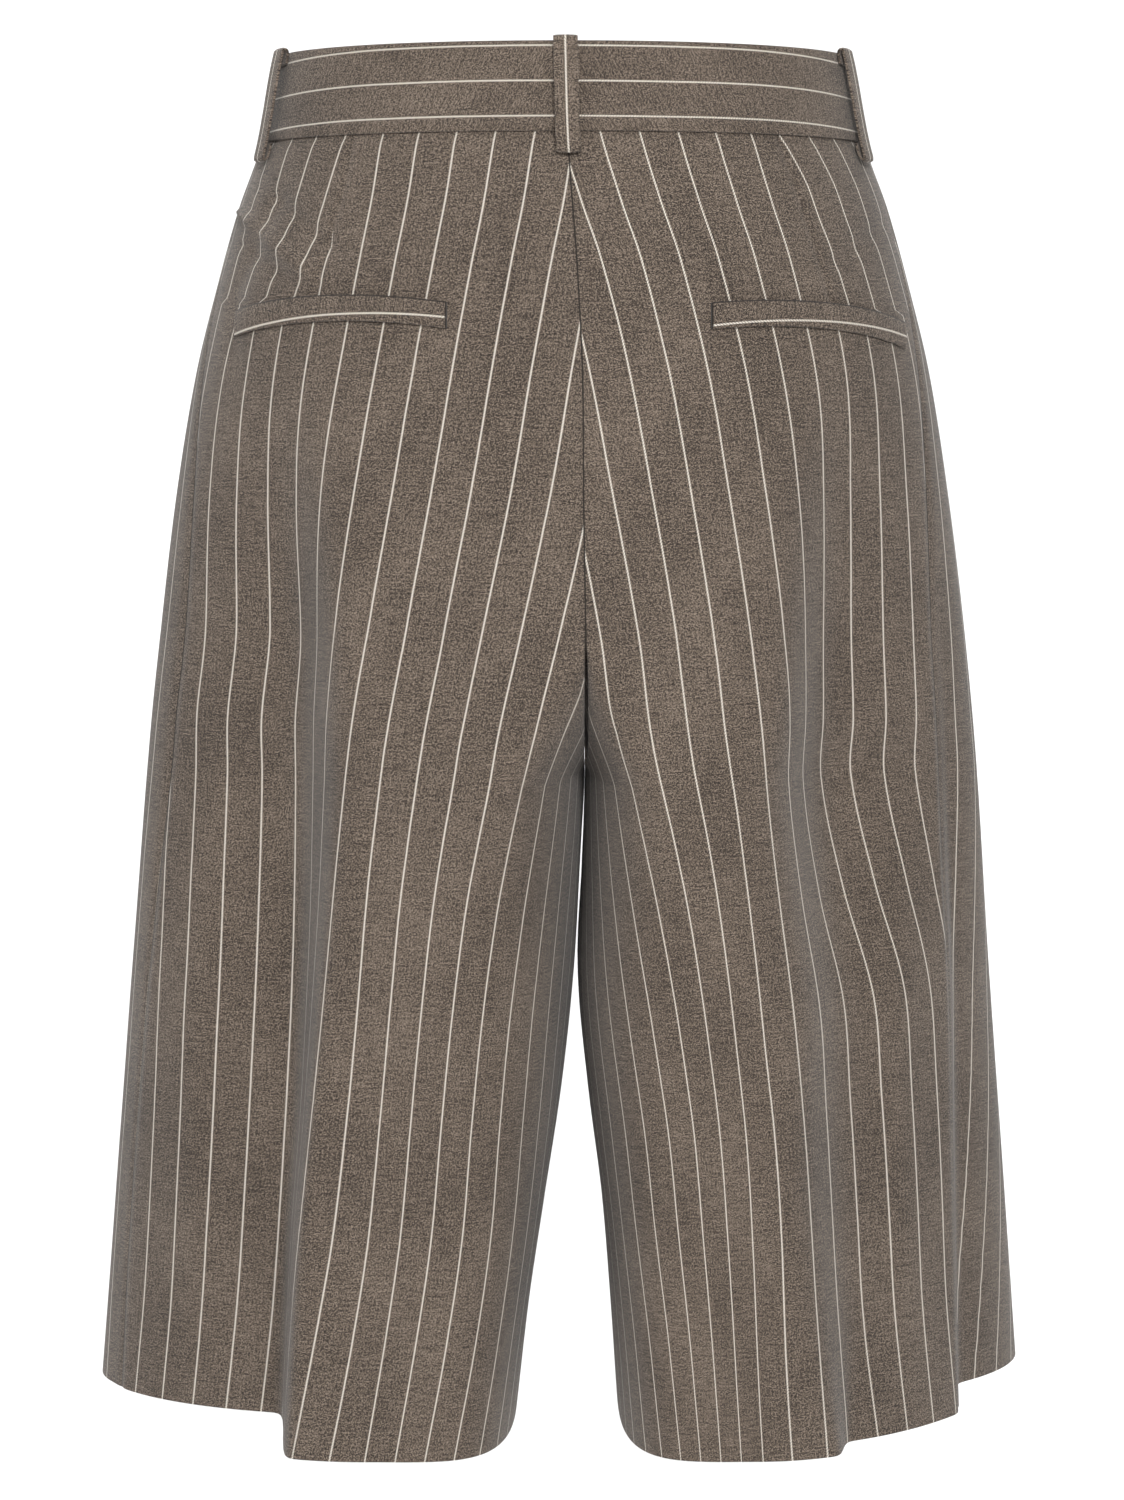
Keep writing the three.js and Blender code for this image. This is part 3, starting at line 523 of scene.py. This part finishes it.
def wall(name, outer, inner, uvs):
    """Closed cloth: two grids of the same shape, joined round their edge, faces out."""
    rows, columns = outer.shape[:2]
    count = rows * columns
    index = np.arange(count).reshape(rows, columns)
    quads = grid_quads(index)
    ring = np.concatenate([index[0], index[1:, -1], index[-1, -2::-1], index[-2:0:-1, 0]])
    onward = np.roll(ring, -1)
    rim = np.stack([ring, onward, onward + count, ring + count], axis=1)
    faces = np.concatenate([quads, quads[:, ::-1] + count, rim])
    points = np.concatenate([outer.reshape(-1, 3), inner.reshape(-1, 3)]) * MM
    layers = [(layer, np.tile(uv.reshape(-1, 2), (2, 1))) for layer, uv in uvs]
    piece = face_mesh(name, points, facing_out(points, faces), layers)
    piece.data.set_sharp_from_angle(angle=PANEL_SHARP)
    return piece


def grid_normals(points):
    """Unit normals of a grid of points, by the cross product of its two directions."""
    normal = np.cross(np.gradient(points, axis=0), np.gradient(points, axis=1))
    return normal / np.maximum(np.linalg.norm(normal, axis=-1, keepdims=True), 1e-9)


# Grain of the cloth: a stripe runs this far along the front beyond the side seam, and
# each dart takes in the cloth between its rows (distance outward, height, intake). The
# rest of the front is laid by its pressed crease (distance outward at the waist, and how
# much further out for each millimetre down), from which it flares evenly to the side.
FRONT_GRAIN = {
    "columns": ["z", "offset"],
    "rows": [[0, -14], [-40, -8], [-100, 4], [-200, 13], [-286, 17], [-628, 17.5]],
}
DART_COLUMNS = ["z", "across", "intake"]
DARTS = {
    "left": {
        "columns": DART_COLUMNS,
        "rows": [[-39, 94, 15.5], [-60, 97.5, 11.5], [-78, 102, 8.8], [-96, 107, 6.5], [-113, 112, 4]],
    },
    "right": {
        "columns": DART_COLUMNS,
        "rows": [[-39, 96, 20], [-60, 103, 13], [-78, 109, 11.5], [-96, 115, 9.5], [-117, 121, 7.5]],
    },
}
DART_SINK = 0.7
DART_SINK_WIDTH = 1.8
FRONT_CREASE = (66, 0.055)
CREASE_GRAIN_FROM = 20
CREASE_GRAIN_OVER = 120
EASE_FROM = 92
EASE_BEND = 8

# Panels: columns of each mesh, and how it is spaced, rolls into its seams and is hemmed
PANEL_COLUMNS = {"back": 150, "front": 110}
INNER_WALL_POWER = 2.5
SEAM_ROLL = 1.0
SEAM_ROLL_WIDTH = 2.4
SEAM_SHADE = 1.8
WAIST_ROLL = 1.2
WAIST_ROLL_WIDTH = 3.5
HEM_TURN = 38
HEM_STEP = 1.5
HEM_CLOTH = 0.9

arch = np.linspace(0, math.pi / 2, 34)
PANEL_Z = np.concatenate([
    np.linspace(-BAND_HEIGHT + 0.5, -SEAT_TURN_DROP, 84)[:-1],
    -SEAT_TURN_DROP - (CROTCH_DROP - SEAT_TURN_DROP) * np.sin(arch),
    np.linspace(-CROTCH_DROP, -LENGTH, 110)[1:],
])

# Soft creases that the wearing left, a row for each: half, face, where its line starts
# (distance outward, height) and ends, how far it bows, its half width and its height.
# Each fades in and out over CREASE_FADE of its length, from CREASE_START of its height.
CREASE_FADE = 0.35
CREASE_START = 0.3
CREASES = [
    ["left", "back", 154, -67, 112, -103, 0, 8, 3.0],
    ["left", "back", 140, -60, 98, -96, 0, 8, -2.2],
    ["left", "back", 152, -84, 122, -106, 0, 8, -1.6],
    ["right", "back", 150, -74, 118, -100, 2, 10, -1.2],
    ["left", "back", 62, -250, 20, -322, 6, 12, -1.6],
    ["left", "back", 92, -262, 40, -372, 8, 15, 1.4],
    ["right", "back", 58, -256, 18, -320, 6, 12, -1.5],
    ["right", "back", 96, -270, 44, -384, 8, 15, 1.2],
    ["left", "back", 62, -420, 74, -628, -3, 13, -1.6],
    ["right", "back", 64, -400, 72, -628, 4, 13, -1.8],
    ["left", "back", 160, -330, 172, -600, 4, 14, 1.5],
    ["right", "back", 156, -360, 160, -610, -3, 13, 1.3],
    ["left", "front", 60, -200, 22, -318, 6, 12, -2.0],
    ["right", "front", 58, -204, 20, -320, 6, 12, -2.0],
    ["left", "front", 62, -380, 70, -628, 3, 14, -1.8],
    ["right", "front", 66, -390, 74, -628, -3, 14, -1.6],
    ["left", "front", 128, -150, 140, -420, 5, 18, 1.6],
    ["right", "front", 126, -160, 138, -400, -4, 18, 1.5],
]


def crease_relief(half, face, s, form):
    """Sum of the creases: a bell across each one's line, faded towards both its ends."""
    relief = np.zeros_like(s)
    for row in CREASES:
        if row[0] != half or row[1] != face:
            continue
        x0, z0, x1, z1, bow, width, height = row[2:]
        t = (form.z - z0) / (z1 - z0)
        line = x0 + (x1 - x0) * t + bow * 4 * t * (1 - t)
        centre = form.along(face, np.clip(line, 1, None))
        fade = smooth(t / CREASE_FADE + CREASE_START) * smooth((1 - t) / CREASE_FADE + CREASE_START)
        relief += height * fade[:, None] * np.exp(-(((s - centre[:, None]) / width) ** 2))
    return relief


def back_grain(half, form, s, away):
    """The back's place across the cloth, from the stripe that it is laid by, its distance
    past the dart's line and the dart's intake."""
    dart = DARTS[half]
    dart_end = dart["rows"][-1][0]
    dart_z = np.clip(PANEL_Z, dart_end, 0)
    past = s - form.along("back", column(dart, "across", dart_z))[:, None]
    intake = np.clip(column(dart, "intake", dart_z), 0, None)
    intake = np.where(PANEL_Z > dart_end, intake, 0)[:, None]
    inward = 0.5 * (EASE_FROM - away + np.hypot(EASE_FROM - away, EASE_BEND))
    ease_in, ease_out, fold, bend = (value[:, None] for value in form.ease)
    outward = smooth((away - fold + bend) / (2 * bend))
    across = s - form.stripe[:, None] - ease_in * inward - ease_out * outward
    return across, past, intake


def front_grain(form, s, from_side):
    """The front's place across the cloth: by the side seam near it, and by the pressed
    crease farther on, from which the cloth flares by a smooth curve."""
    by_side = form.side + column(FRONT_GRAIN, "offset", PANEL_Z)
    by_crease = form.along("front", FRONT_CREASE[0] - FRONT_CREASE[1] * PANEL_Z)
    flare = np.polyval(np.polyfit(PANEL_Z, by_crease - by_side, 2), PANEL_Z)
    share = smooth((from_side - CREASE_GRAIN_FROM) / CREASE_GRAIN_OVER)
    return s - (1 - share) * by_side[:, None] - share * (by_crease - flare)[:, None]


def panel(half, face):
    """One cut panel: points at shares between its middle seam and its side seam, moved
    out by the creases and in where its edges roll into the seams. Also gives its area."""
    form = Half(half, PANEL_Z)
    left = np.linspace(1, 0, PANEL_COLUMNS[face])[None, :]
    whole = form.side if face == "back" else form.total - form.side
    outer_length = form.outer[face][:, None]
    from_side = left * outer_length + (whole[:, None] - outer_length) * left ** INNER_WALL_POWER
    s = form.side[:, None] + (-from_side if face == "back" else from_side)
    base = form.point(s)
    sign = HALVES[half]["sign"]
    normal = grid_normals(base) * (-sign if face == "back" else sign)
    from_middle = whole[:, None] - from_side
    side_roll = np.exp(-((from_side / SEAM_ROLL_WIDTH) ** 2))
    middle_roll = np.exp(-((from_middle / SEAM_ROLL_WIDTH) ** 2))
    waist_roll = np.exp(-(((PANEL_Z + BAND_HEIGHT) / WAIST_ROLL_WIDTH) ** 2))[:, None]
    relief = crease_relief(half, face, s, form)
    relief = relief - SEAM_ROLL * (side_roll + middle_roll) - WAIST_ROLL * waist_roll
    if face == "back":
        across, past, intake = back_grain(half, form, s, np.abs(base[..., 0]))
        sink = DART_SINK * smooth(intake / 4) * np.exp(-((past / DART_SINK_WIDTH) ** 2))
        relief = relief - sink
    else:
        across = front_grain(form, s, from_side)
        past, intake = np.zeros_like(s), np.zeros_like(s)
    hem = smooth((-PANEL_Z - (LENGTH - HEM_TURN)) / HEM_STEP)[:, None]
    outer = base + normal * relief[..., None]
    inner = base + normal * (relief - CLOTH - HEM_CLOTH * hem)[..., None]
    inner[..., 2] = base[..., 2]
    outer[..., 2] = base[..., 2]
    grain = np.stack([sign * across, base[..., 2]], axis=-1) * MM
    darts = np.stack([past, np.broadcast_to(sign * intake, s.shape)], axis=-1) * MM
    # Distance to the nearest seam or the dart's line, for the painted shade that the material lays along them
    near = np.minimum(from_side, from_middle)
    near = SEAM_SHADE * np.where(intake > 0, np.minimum(near, np.abs(past) + 0.2), near)
    edge = np.stack([near, near], axis=-1) * MM
    uvs = [("cloth", grain), ("dart", darts), ("edge", edge)]
    return wall(f"{face}_panel_{half}", outer, inner, uvs), panel_area(outer)


def panel_area(points):
    """Area of a grid's cells in square metres, by the cross products of their diagonals."""
    first = points[1:, 1:] - points[:-1, :-1]
    second = points[1:, :-1] - points[:-1, 1:]
    return float(np.linalg.norm(np.cross(first, second), axis=-1).sum()) / 2 * MM * MM


# The cloth itself: a fine twill of mixed taupe yarns. Every 17.6 mm a stripe of white
# yarn floats over it in short slanting ticks, which makes it look like a thin rope. The
# spacings are in millimetres, and a slant is the rise for each millimetre across.
STRIPE_EDGE = (0.2, 0.6)
TICK_SPACING = 1.27
TICK_SLANT = 1.25
TWILL_SPACING = 0.75
TWILL_SLANT = 1.1
BUMP_DEPTH = 0.0003
# Colour of the painted shade in the seams, along the darts and over the pocket mouths
PAINTED_SEAM_SHADE = srgb(26, 20, 16)
TAUPE_DARK = srgb(24, 18, 14)
TAUPE_MID = srgb(72, 61, 51)
TAUPE_LIGHT = srgb(128, 115, 103)
IVORY = srgb(212, 205, 193)


def pinstripe_cloth(name, coordinates="UV", painted_edge_shade=False):
    """Material with the twill, its melange and the stripes, in millimetres of the cloth. A piece whose flag is
    set darkens within a millimetre of its edges, by the UV map "edge": painted shade where the seams, darts and
    pocket mouths sink in."""
    material, wire, shader = new_material(
        name, Sheen_Weight=0.12, Sheen_Roughness=0.6, Specular_IOR_Level=0.25)

    def uv_axes(layer):
        """The first axis of a UV map. Its output 1 is the second."""
        uv = wire.node("ShaderNodeUVMap", {"uv_map": layer})
        return wire.node("ShaderNodeSeparateXYZ", Vector=uv)

    if coordinates == "UV":
        dart, axes = uv_axes("dart"), uv_axes("cloth")
        u = (axes + dart.output(1) * wire.math("GREATER_THAN", dart, 0.0)) * 1000
        v = axes.output(1) * 1000
    else:
        axes = wire.node("ShaderNodeSeparateXYZ", Vector=wire.node("ShaderNodeTexCoord", out=3))
        u = axes * 1000
        v = axes.output(2) * 1000

    def speckle(across, along, detail=2.0):
        """Noise, 0 to 1, with this many spots in a millimetre across and along."""
        place = wire.node("ShaderNodeCombineXYZ", X=u * across, Y=v * along, Z=0.0)
        return wire.node("ShaderNodeTexNoise", Vector=place, Scale=1.0, Detail=detail)

    def wave(phase, spacing):
        """A cosine along phase, 0 to 1."""
        return wire.math("COSINE", phase * (2 * math.pi / spacing)) * 0.5 + 0.5

    wobble = (speckle(0.02, 0.02) - 0.5) * 0.5
    offset = wire.math("WRAP", u + wobble, STRIPE_SPACING / 2, -STRIPE_SPACING / 2)
    tick = wave(v + u * TICK_SLANT, TICK_SPACING)
    near = 1 - wire.math("ABSOLUTE", offset).step(*STRIPE_EDGE)
    stripe = near * (tick.step(0.15, 0.7) * 0.8 + 0.2)
    twill = wave(v + u * TWILL_SLANT, TWILL_SPACING)
    fleck = speckle(0.9, 1.1)
    grit = speckle(1.9, 2.1, detail=1.0)
    slub = speckle(0.09, 0.9)
    warp = speckle(0.9, 0.08)
    cloud = speckle(0.02, 0.015)
    yarns = (fleck - 0.5) * 1.5 + (grit - 0.5) * 2.6 + (slub - 0.5) * 0.6 + (warp - 0.5) * 0.4
    mix = yarns + (cloud - 0.5) * 0.35 + (twill - 0.5) * 0.3 + 0.5
    stops = [(0.15, TAUPE_DARK), (0.5, TAUPE_MID), (0.9, TAUPE_LIGHT)]
    color = stripe.tint(wire.node("ShaderNodeValToRGB", {"stops": stops}, Fac=mix), IVORY)
    # Painted shade: dark within a millimetre of the seams, darts and pocket mouths
    if painted_edge_shade:
        color = (uv_axes("edge") * 1000).step(0.25, 1.0).tint(PAINTED_SEAM_SHADE, color)
    color.feed(shader, "Base Color")
    (0.86 - stripe * 0.12 + (fleck - 0.5) * 0.1).feed(shader, "Roughness")
    height = twill * 0.4 + fleck * 0.5 + stripe * 0.6 + slub * 0.3
    bump = wire.node("ShaderNodeBump", Height=height, Strength=0.35, Distance=BUMP_DEPTH)
    bump.feed(shader, "Normal")
    return material


twill = pinstripe_cloth("pinstripe_twill")
# The panels and welts take a twill with painted shade along their seams and edges
seam_shaded_twill = pinstripe_cloth("seam_shaded_twill", painted_edge_shade=True)
for half in HALVES:
    for face in ("back", "front"):
        piece, area = panel(half, face)
        piece.data.materials.append(seam_shaded_twill)
        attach(piece, "root")
        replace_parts(piece, f"{face}_{half}")


# Waistband: one strip of the same cloth cut along the stripes, stiffened and folded over
# at the top, with its lower edge rolled where it is sewn to the panels. At the middle of
# the front its wearer's right end laps over the left.
BAND_CLOTH = 3
BAND_PROUD = 0.6
BAND_LAP = 18
LAP_RAMP = 22
LAP_CLEARANCE = 2
SEAM_GAP = 0.3
BAND_STATIONS = 240
LAP_STATIONS = 6
BAND_ROLL = 0.9
BAND_ROLL_UP = 3.0
BAND_ROLL_WIDTH = 3.2
BAND_STRIPE_Z = -1.9
BAND_STRIPE_SPACING = 15.5
BAND_STRIPE_SAG = 3.5
BAND_SAG_WIDTH = 0.16
STRIP_SHARP = math.radians(60)


def waist_points(half, turn_share, across, z):
    """Points on the waist: at a share of the way from the middle front round one half,
    and a distance across from there. Past either middle they lie on the other half."""
    own = Half(half, z)
    other = Half("left" if half == "right" else "right", z)
    own_round, other_round = own.total[:, None], other.total[:, None]
    s = turn_share * own_round + across
    on_own = own.point(np.clip(own_round - s, 0, own_round))
    past_front = other.point(np.clip(other_round + s, 0, other_round))
    past_back = other.point(np.clip(s - own_round, 0, other_round))
    points = np.where((s > own_round)[..., None], past_back, on_own)
    return np.where((s < 0)[..., None], past_front, points), s


def waist_surface(half, turn_share, across, z, out):
    """Waist points moved out level by out, away from the body."""
    z = np.minimum(z, 0)
    here, s = waist_points(half, turn_share, across, z)
    ahead, _ = waist_points(half, turn_share, across + 3, z)
    behind, _ = waist_points(half, turn_share, across - 3, z)
    run = ahead - behind
    outward = np.stack([run[..., 1], -run[..., 0], np.zeros_like(run[..., 0])], axis=-1)
    length = np.maximum(np.linalg.norm(outward, axis=-1, keepdims=True), 1e-9)
    outward *= HALVES[half]["sign"] / length
    return here + outward * out[..., None], s


def closed_tube(name, rings, uv, edge=None):
    """Closed solid from rings of points (stations, around, 3), capped at both ends by
    strips across them. uv, and the distance to the edge, are given for each point."""
    stations, around = rings.shape[:2]
    rings = np.concatenate([rings, rings[:, :1]], axis=1)
    layers = [("cloth", np.concatenate([uv, uv[:, :1]], axis=1).reshape(-1, 2) * MM)]
    if edge is not None:
        edge = np.concatenate([edge, edge[:, :1]], axis=1).ravel()
        layers.append(("edge", np.stack([edge, edge], axis=-1) * MM))
    points = rings.reshape(-1, 3) * MM
    index = np.arange(stations * (around + 1)).reshape(stations, around + 1)
    half_way = around // 2
    caps = []
    for row, flip in ((index[0], False), (index[-1], True)):
        a, b = row[:half_way], row[1:half_way + 1]
        far = row[::-1]
        quad = np.stack([a, b, far[1:half_way + 1], far[:half_way]], axis=1)
        caps.append(quad[:, ::-1] if flip else quad)
    faces = np.concatenate([grid_quads(index), *caps])
    piece = face_mesh(name, points, facing_out(points, faces), layers)
    weld(piece)
    piece.data.set_sharp_from_angle(angle=STRIP_SHARP)
    return piece


def weld(piece):
    """Joins the points that lie on each other, so that the piece is one closed skin."""
    mesh = bmesh.new()
    mesh.from_mesh(piece.data)
    bmesh.ops.remove_doubles(mesh, verts=mesh.verts, dist=1e-6)
    bmesh.ops.dissolve_degenerate(mesh, edges=mesh.edges, dist=1e-7)
    mesh.to_mesh(piece.data)
    mesh.free()


def strip_section(width, thickness, crown, corner, count):
    """Outline of a pressed strip: a superellipse round its corners, crowned on its face.
    Gives the place across the width and the height over its underside."""
    angle = np.linspace(0, 2 * math.pi, count, endpoint=False)
    c, s = np.cos(angle), np.sin(angle)
    across = width / 2 * np.sign(c) * np.abs(c) ** (1 / corner)
    rise = thickness / 2 * np.sign(s) * np.abs(s) ** (1 / corner)
    rise = rise + thickness / 2 + crown * (1 - (2 * across / width) ** 2) * (rise > 0)
    return across, rise


# The strip's outline round its section, carried from the lap's end over the right half,
# the middle back and the left half to the end below the lap
down, rise = strip_section(BAND_HEIGHT + 0.8, BAND_CLOTH, crown=0.0, corner=4.5, count=64)
band_z = -(down + BAND_HEIGHT / 2)
roll = BAND_ROLL * np.exp(-(((band_z + BAND_HEIGHT - BAND_ROLL_UP) / BAND_ROLL_WIDTH) ** 2))
band_out = BAND_PROUD - BAND_CLOTH + rise + roll * (rise > BAND_CLOTH / 2)
total = Half("right", PANEL_Z[:1]).total[0]
shares = np.linspace(0, 1, BAND_STATIONS)
grids, lengths = [], []
for half, share, across in (
    ("right", np.zeros(LAP_STATIONS), np.linspace(-BAND_LAP, -1, LAP_STATIONS)),
    ("right", shares, np.zeros(BAND_STATIONS)),
    ("left", shares[-2::-1], np.zeros(BAND_STATIONS - 1)),
    ("left", np.zeros(LAP_STATIONS), np.linspace(-1, -BAND_LAP, LAP_STATIONS)),
):
    out = np.broadcast_to(band_out[:, None], (len(band_z), len(share)))
    if half == "right":
        past_lap = share * total + across - BAND_LAP - LAP_CLEARANCE
        out = out + (BAND_CLOTH + SEAM_GAP) * smooth((LAP_RAMP - past_lap) / LAP_RAMP)
    grid, s = waist_surface(half, share[None, :], across[None, :], band_z, out)
    grid[..., 2] = np.broadcast_to(band_z[:, None], grid.shape[:2])
    grids.append(grid)
    lengths.append(s if half == "right" else 2 * total - s)
rings = np.concatenate(grids, axis=1).transpose(1, 0, 2)
along_band = np.concatenate(lengths, axis=1).T
side_share = np.abs(np.abs(along_band / total - 1) - 0.5)
sag = BAND_STRIPE_SAG * np.exp(-((side_share / BAND_SAG_WIDTH) ** 2))
stripe_place = (band_z[None, :] + sag - BAND_STRIPE_Z) * (STRIPE_SPACING / BAND_STRIPE_SPACING)
band_uv = np.stack([stripe_place, along_band], axis=-1)
waistband = closed_tube("waistband_strip", rings, band_uv)
waistband.data.materials.append(twill)
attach(waistband, "root")
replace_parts(waistband, "waistband")


# Belt loops: folded strips with a stripe down their middle, caught in the band's top
# edge, hung down over it and turned up into the waist seam behind.
LOOP_WIDTH = 10.7
LOOP_CLOTH = 1.3
LOOP_PATH = np.array([[0.95, -5], [1.2, 0.4], [2.4, 1.6], [3.7, 0.2], [4.3, -12], [4.4, -28],
                      [4.2, -42], [3.9, -47], [2.8, -48.4], [1.8, -46.5], [1.7, -41]])
SIDE_LOOP_BEHIND = 36
FRONT_LOOP_OUT = 74
PATH_FINENESS = 20


def even_path(points, count):
    """The same path as a smooth curve (Catmull-Rom) with count points at even lengths."""
    ends = np.concatenate([[2 * points[0] - points[1]], points, [2 * points[-1] - points[-2]]])
    t = np.linspace(0, 1, PATH_FINENESS, endpoint=False)[None, :, None]
    p0, p1, p2, p3 = (ends[k:len(ends) - 3 + k][:, None] for k in range(4))
    square, cube = 2 * p0 - 5 * p1 + 4 * p2 - p3, 3 * p1 - p0 - 3 * p2 + p3
    curve = 0.5 * (2 * p1 + (p2 - p0) * t + square * t ** 2 + cube * t ** 3)
    curve = np.concatenate([curve.reshape(-1, points.shape[1]), points[-1:]])
    length = np.concatenate([[0], np.cumsum(np.linalg.norm(np.diff(curve, axis=0), axis=1))])
    at = np.linspace(0, length[-1], count)
    even = [np.interp(at, length, curve[:, k]) for k in range(points.shape[1])]
    return np.stack(even, axis=1), at


def belt_loop(name, half, share):
    """The strip's outline carried along the loop's path, on the band's own curve."""
    path, at = even_path(LOOP_PATH, 70)
    tangent = np.gradient(path, axis=0)
    tangent /= np.linalg.norm(tangent, axis=1, keepdims=True)
    across, rise = strip_section(LOOP_WIDTH, LOOP_CLOTH, crown=0.25, corner=3.2, count=32)
    push = rise - LOOP_CLOTH / 2
    out = BAND_PROUD + path[:, :1] - tangent[:, 1:] * push[None, :]
    level = path[:, 1:] + tangent[:, :1] * push[None, :]
    spread = np.tile(across, len(path))
    grid, _ = waist_surface(half, share, spread[:, None], level.ravel(), out.reshape(-1, 1))
    rings = grid.reshape(len(path), len(across), 3)
    rings[..., 2] = level
    uv = np.stack(np.broadcast_arrays(across[None, :], -at[:, None]), axis=-1)
    loop = closed_tube(name, rings, uv)
    loop.data.materials.append(twill)
    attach(loop, "root")
    return loop


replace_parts(belt_loop("belt_loop_back", "left", 1.0), "loop_back")
for half in HALVES:
    middle = Half(half, [-BAND_HEIGHT / 2])
    widest = column(FORM, "side", -BAND_HEIGHT / 2)
    side_share = 1 - (middle.along("front", widest)[0] - SIDE_LOOP_BEHIND) / middle.total[0]
    front_share = 1 - middle.along("front", FRONT_LOOP_OUT)[0] / middle.total[0]
    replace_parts(belt_loop(f"belt_loop_side_{half}", half, side_share), f"loop_side_{half}")
    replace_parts(belt_loop(f"belt_loop_front_{half}", half, front_share), f"loop_front_{half}")


# Back pockets: a narrow welt on each back panel, cut along a stripe, its ends and its
# upper edge pressed flat over the pocket's mouth.
WELT_HEIGHT = 11.6
WELT_CLOTH = 1.6
WELT_LIFT = 0.7
WELT_END_RISE = 0.55
WELT_END_SHARE = 0.012
WELT_WRAP = 1.1
WELTS = {
    "left": {"inner": 51, "outer": 149.3, "drops": (120.4, 117.1, 123.5), "stripe": (-5.3, -1.1)},
    "right": {"inner": 65, "outer": 155.7, "drops": (120.6, 120.2, 128.7), "stripe": (-4.5, -0.9)},
}


def surface_points(half, s_of, z, step=1.5):
    """Points and outward normals of the cloth at heights z, where s_of gives the arc
    distance for a section. The normals come from points a step ahead and above."""
    form = Half(half, z)
    s = s_of(form)
    here = form.point(s[:, None])[:, 0]
    ahead = form.point((s + step)[:, None])[:, 0]
    above_form = Half(half, z + step)
    above = above_form.point((above_form.side + s - form.side)[:, None])[:, 0]
    normal = np.cross(above - here, ahead - here) * form.sign
    return here, normal / np.linalg.norm(normal, axis=1, keepdims=True)


def pocket_welt(half):
    """The strip's outline carried along the pocket's mouth, on the panel's surface."""
    welt = WELTS[half]
    t = 0.5 - 0.5 * np.cos(np.linspace(0, math.pi, 110))
    drop = parabola(*welt["drops"], t)
    across, rise = strip_section(WELT_HEIGHT, WELT_CLOTH, crown=0.5, corner=3.4, count=56)
    z = (-drop[:, None] + across[None, :]).ravel()
    share = np.repeat(t, len(across))

    def place(form):
        inner, outer = form.along("back", welt["inner"]), form.along("back", welt["outer"])
        return inner * (1 - share) + outer * share

    points, normal = surface_points(half, place, z)
    from_end = np.minimum(t, 1 - t)
    full = WELT_END_RISE + (1 - WELT_END_RISE) * smooth(from_end / WELT_END_SHARE)
    lift = (WELT_LIFT + rise[None, :] * full[:, None]).ravel()
    rings = (points + normal * lift[:, None]).reshape(len(t), len(across), 3)
    low, high = welt["stripe"]
    line = low + (high - low) * (1 - t if half == "left" else t)
    run = (welt["outer"] - welt["inner"]) * WELT_WRAP
    length = (t * run)[:, None]
    uv = np.stack(np.broadcast_arrays(across[None, :] - line[:, None], length), axis=-1)
    # Distance to the upper edge and the ends, where the material paints a dark line of shade over the pocket's
    # mouth and round the welt
    edge = np.minimum(WELT_HEIGHT / 2 - across[None, :], (from_end * run)[:, None])
    piece = closed_tube(f"pocket_welt_{half}", rings, uv, edge)
    piece.data.materials.append(seam_shaded_twill)
    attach(piece, "root")
    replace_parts(piece, f"welt_{half}")


for half in WELTS:
    pocket_welt(half)


# Closure: the zip and the shield behind the front seam, and the horn button that holds
# the lap of the waistband. Each is the CAD's own solid with a material of its own.
TAPE_RIB = 0.0012
TEETH_EDGE = (0.0022, 0.0028)


def dress(node, material):
    """Gives one of the CAD's nodes this material alone."""
    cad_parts[node].data.materials.clear()
    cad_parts[node].data.materials.append(material)


zip_tape, wire, shader = new_material("zip_tape", Specular_IOR_Level=0.3)
axes = wire.node("ShaderNodeSeparateXYZ", Vector=wire.node("ShaderNodeTexCoord", out=3))
ribs = wire.math("COSINE", axes.output(2) * (2 * math.pi / TAPE_RIB)) * 0.5 + 0.5
teeth = 1 - wire.math("ABSOLUTE", axes).step(*TEETH_EDGE)
tape = (ribs * 0.6 + 0.2).tint(srgb(58, 50, 44), srgb(84, 75, 67))
teeth.tint(tape, srgb(150, 140, 126)).feed(shader, "Base Color")
(0.85 - teeth * 0.5).feed(shader, "Roughness")
bump = wire.node("ShaderNodeBump", Height=ribs, Strength=0.4, Distance=BUMP_DEPTH)
bump.feed(shader, "Normal")
dress("zip", zip_tape)
dress("fly_shield", pinstripe_cloth("shield_twill", "Object"))

horn, wire, shader = new_material("horn", Coat_Weight=0.3, Coat_Roughness=0.25)
coords = wire.node("ShaderNodeTexCoord", out=3)
marble = wire.node("ShaderNodeTexNoise", Vector=coords, Scale=260.0, Detail=5.0, Distortion=1.4)
stops = [(0.3, srgb(48, 34, 26)), (0.55, srgb(84, 62, 46)), (0.75, srgb(130, 104, 80))]
wire.node("ShaderNodeValToRGB", {"stops": stops}, Fac=marble).feed(shader, "Base Color")
(0.42 - marble * 0.2).feed(shader, "Roughness")
dress("button", horn)

size = {"cad": [list(map(float, c)) for c in CAD_BOX], "visual": [list(map(float, c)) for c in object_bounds()]}
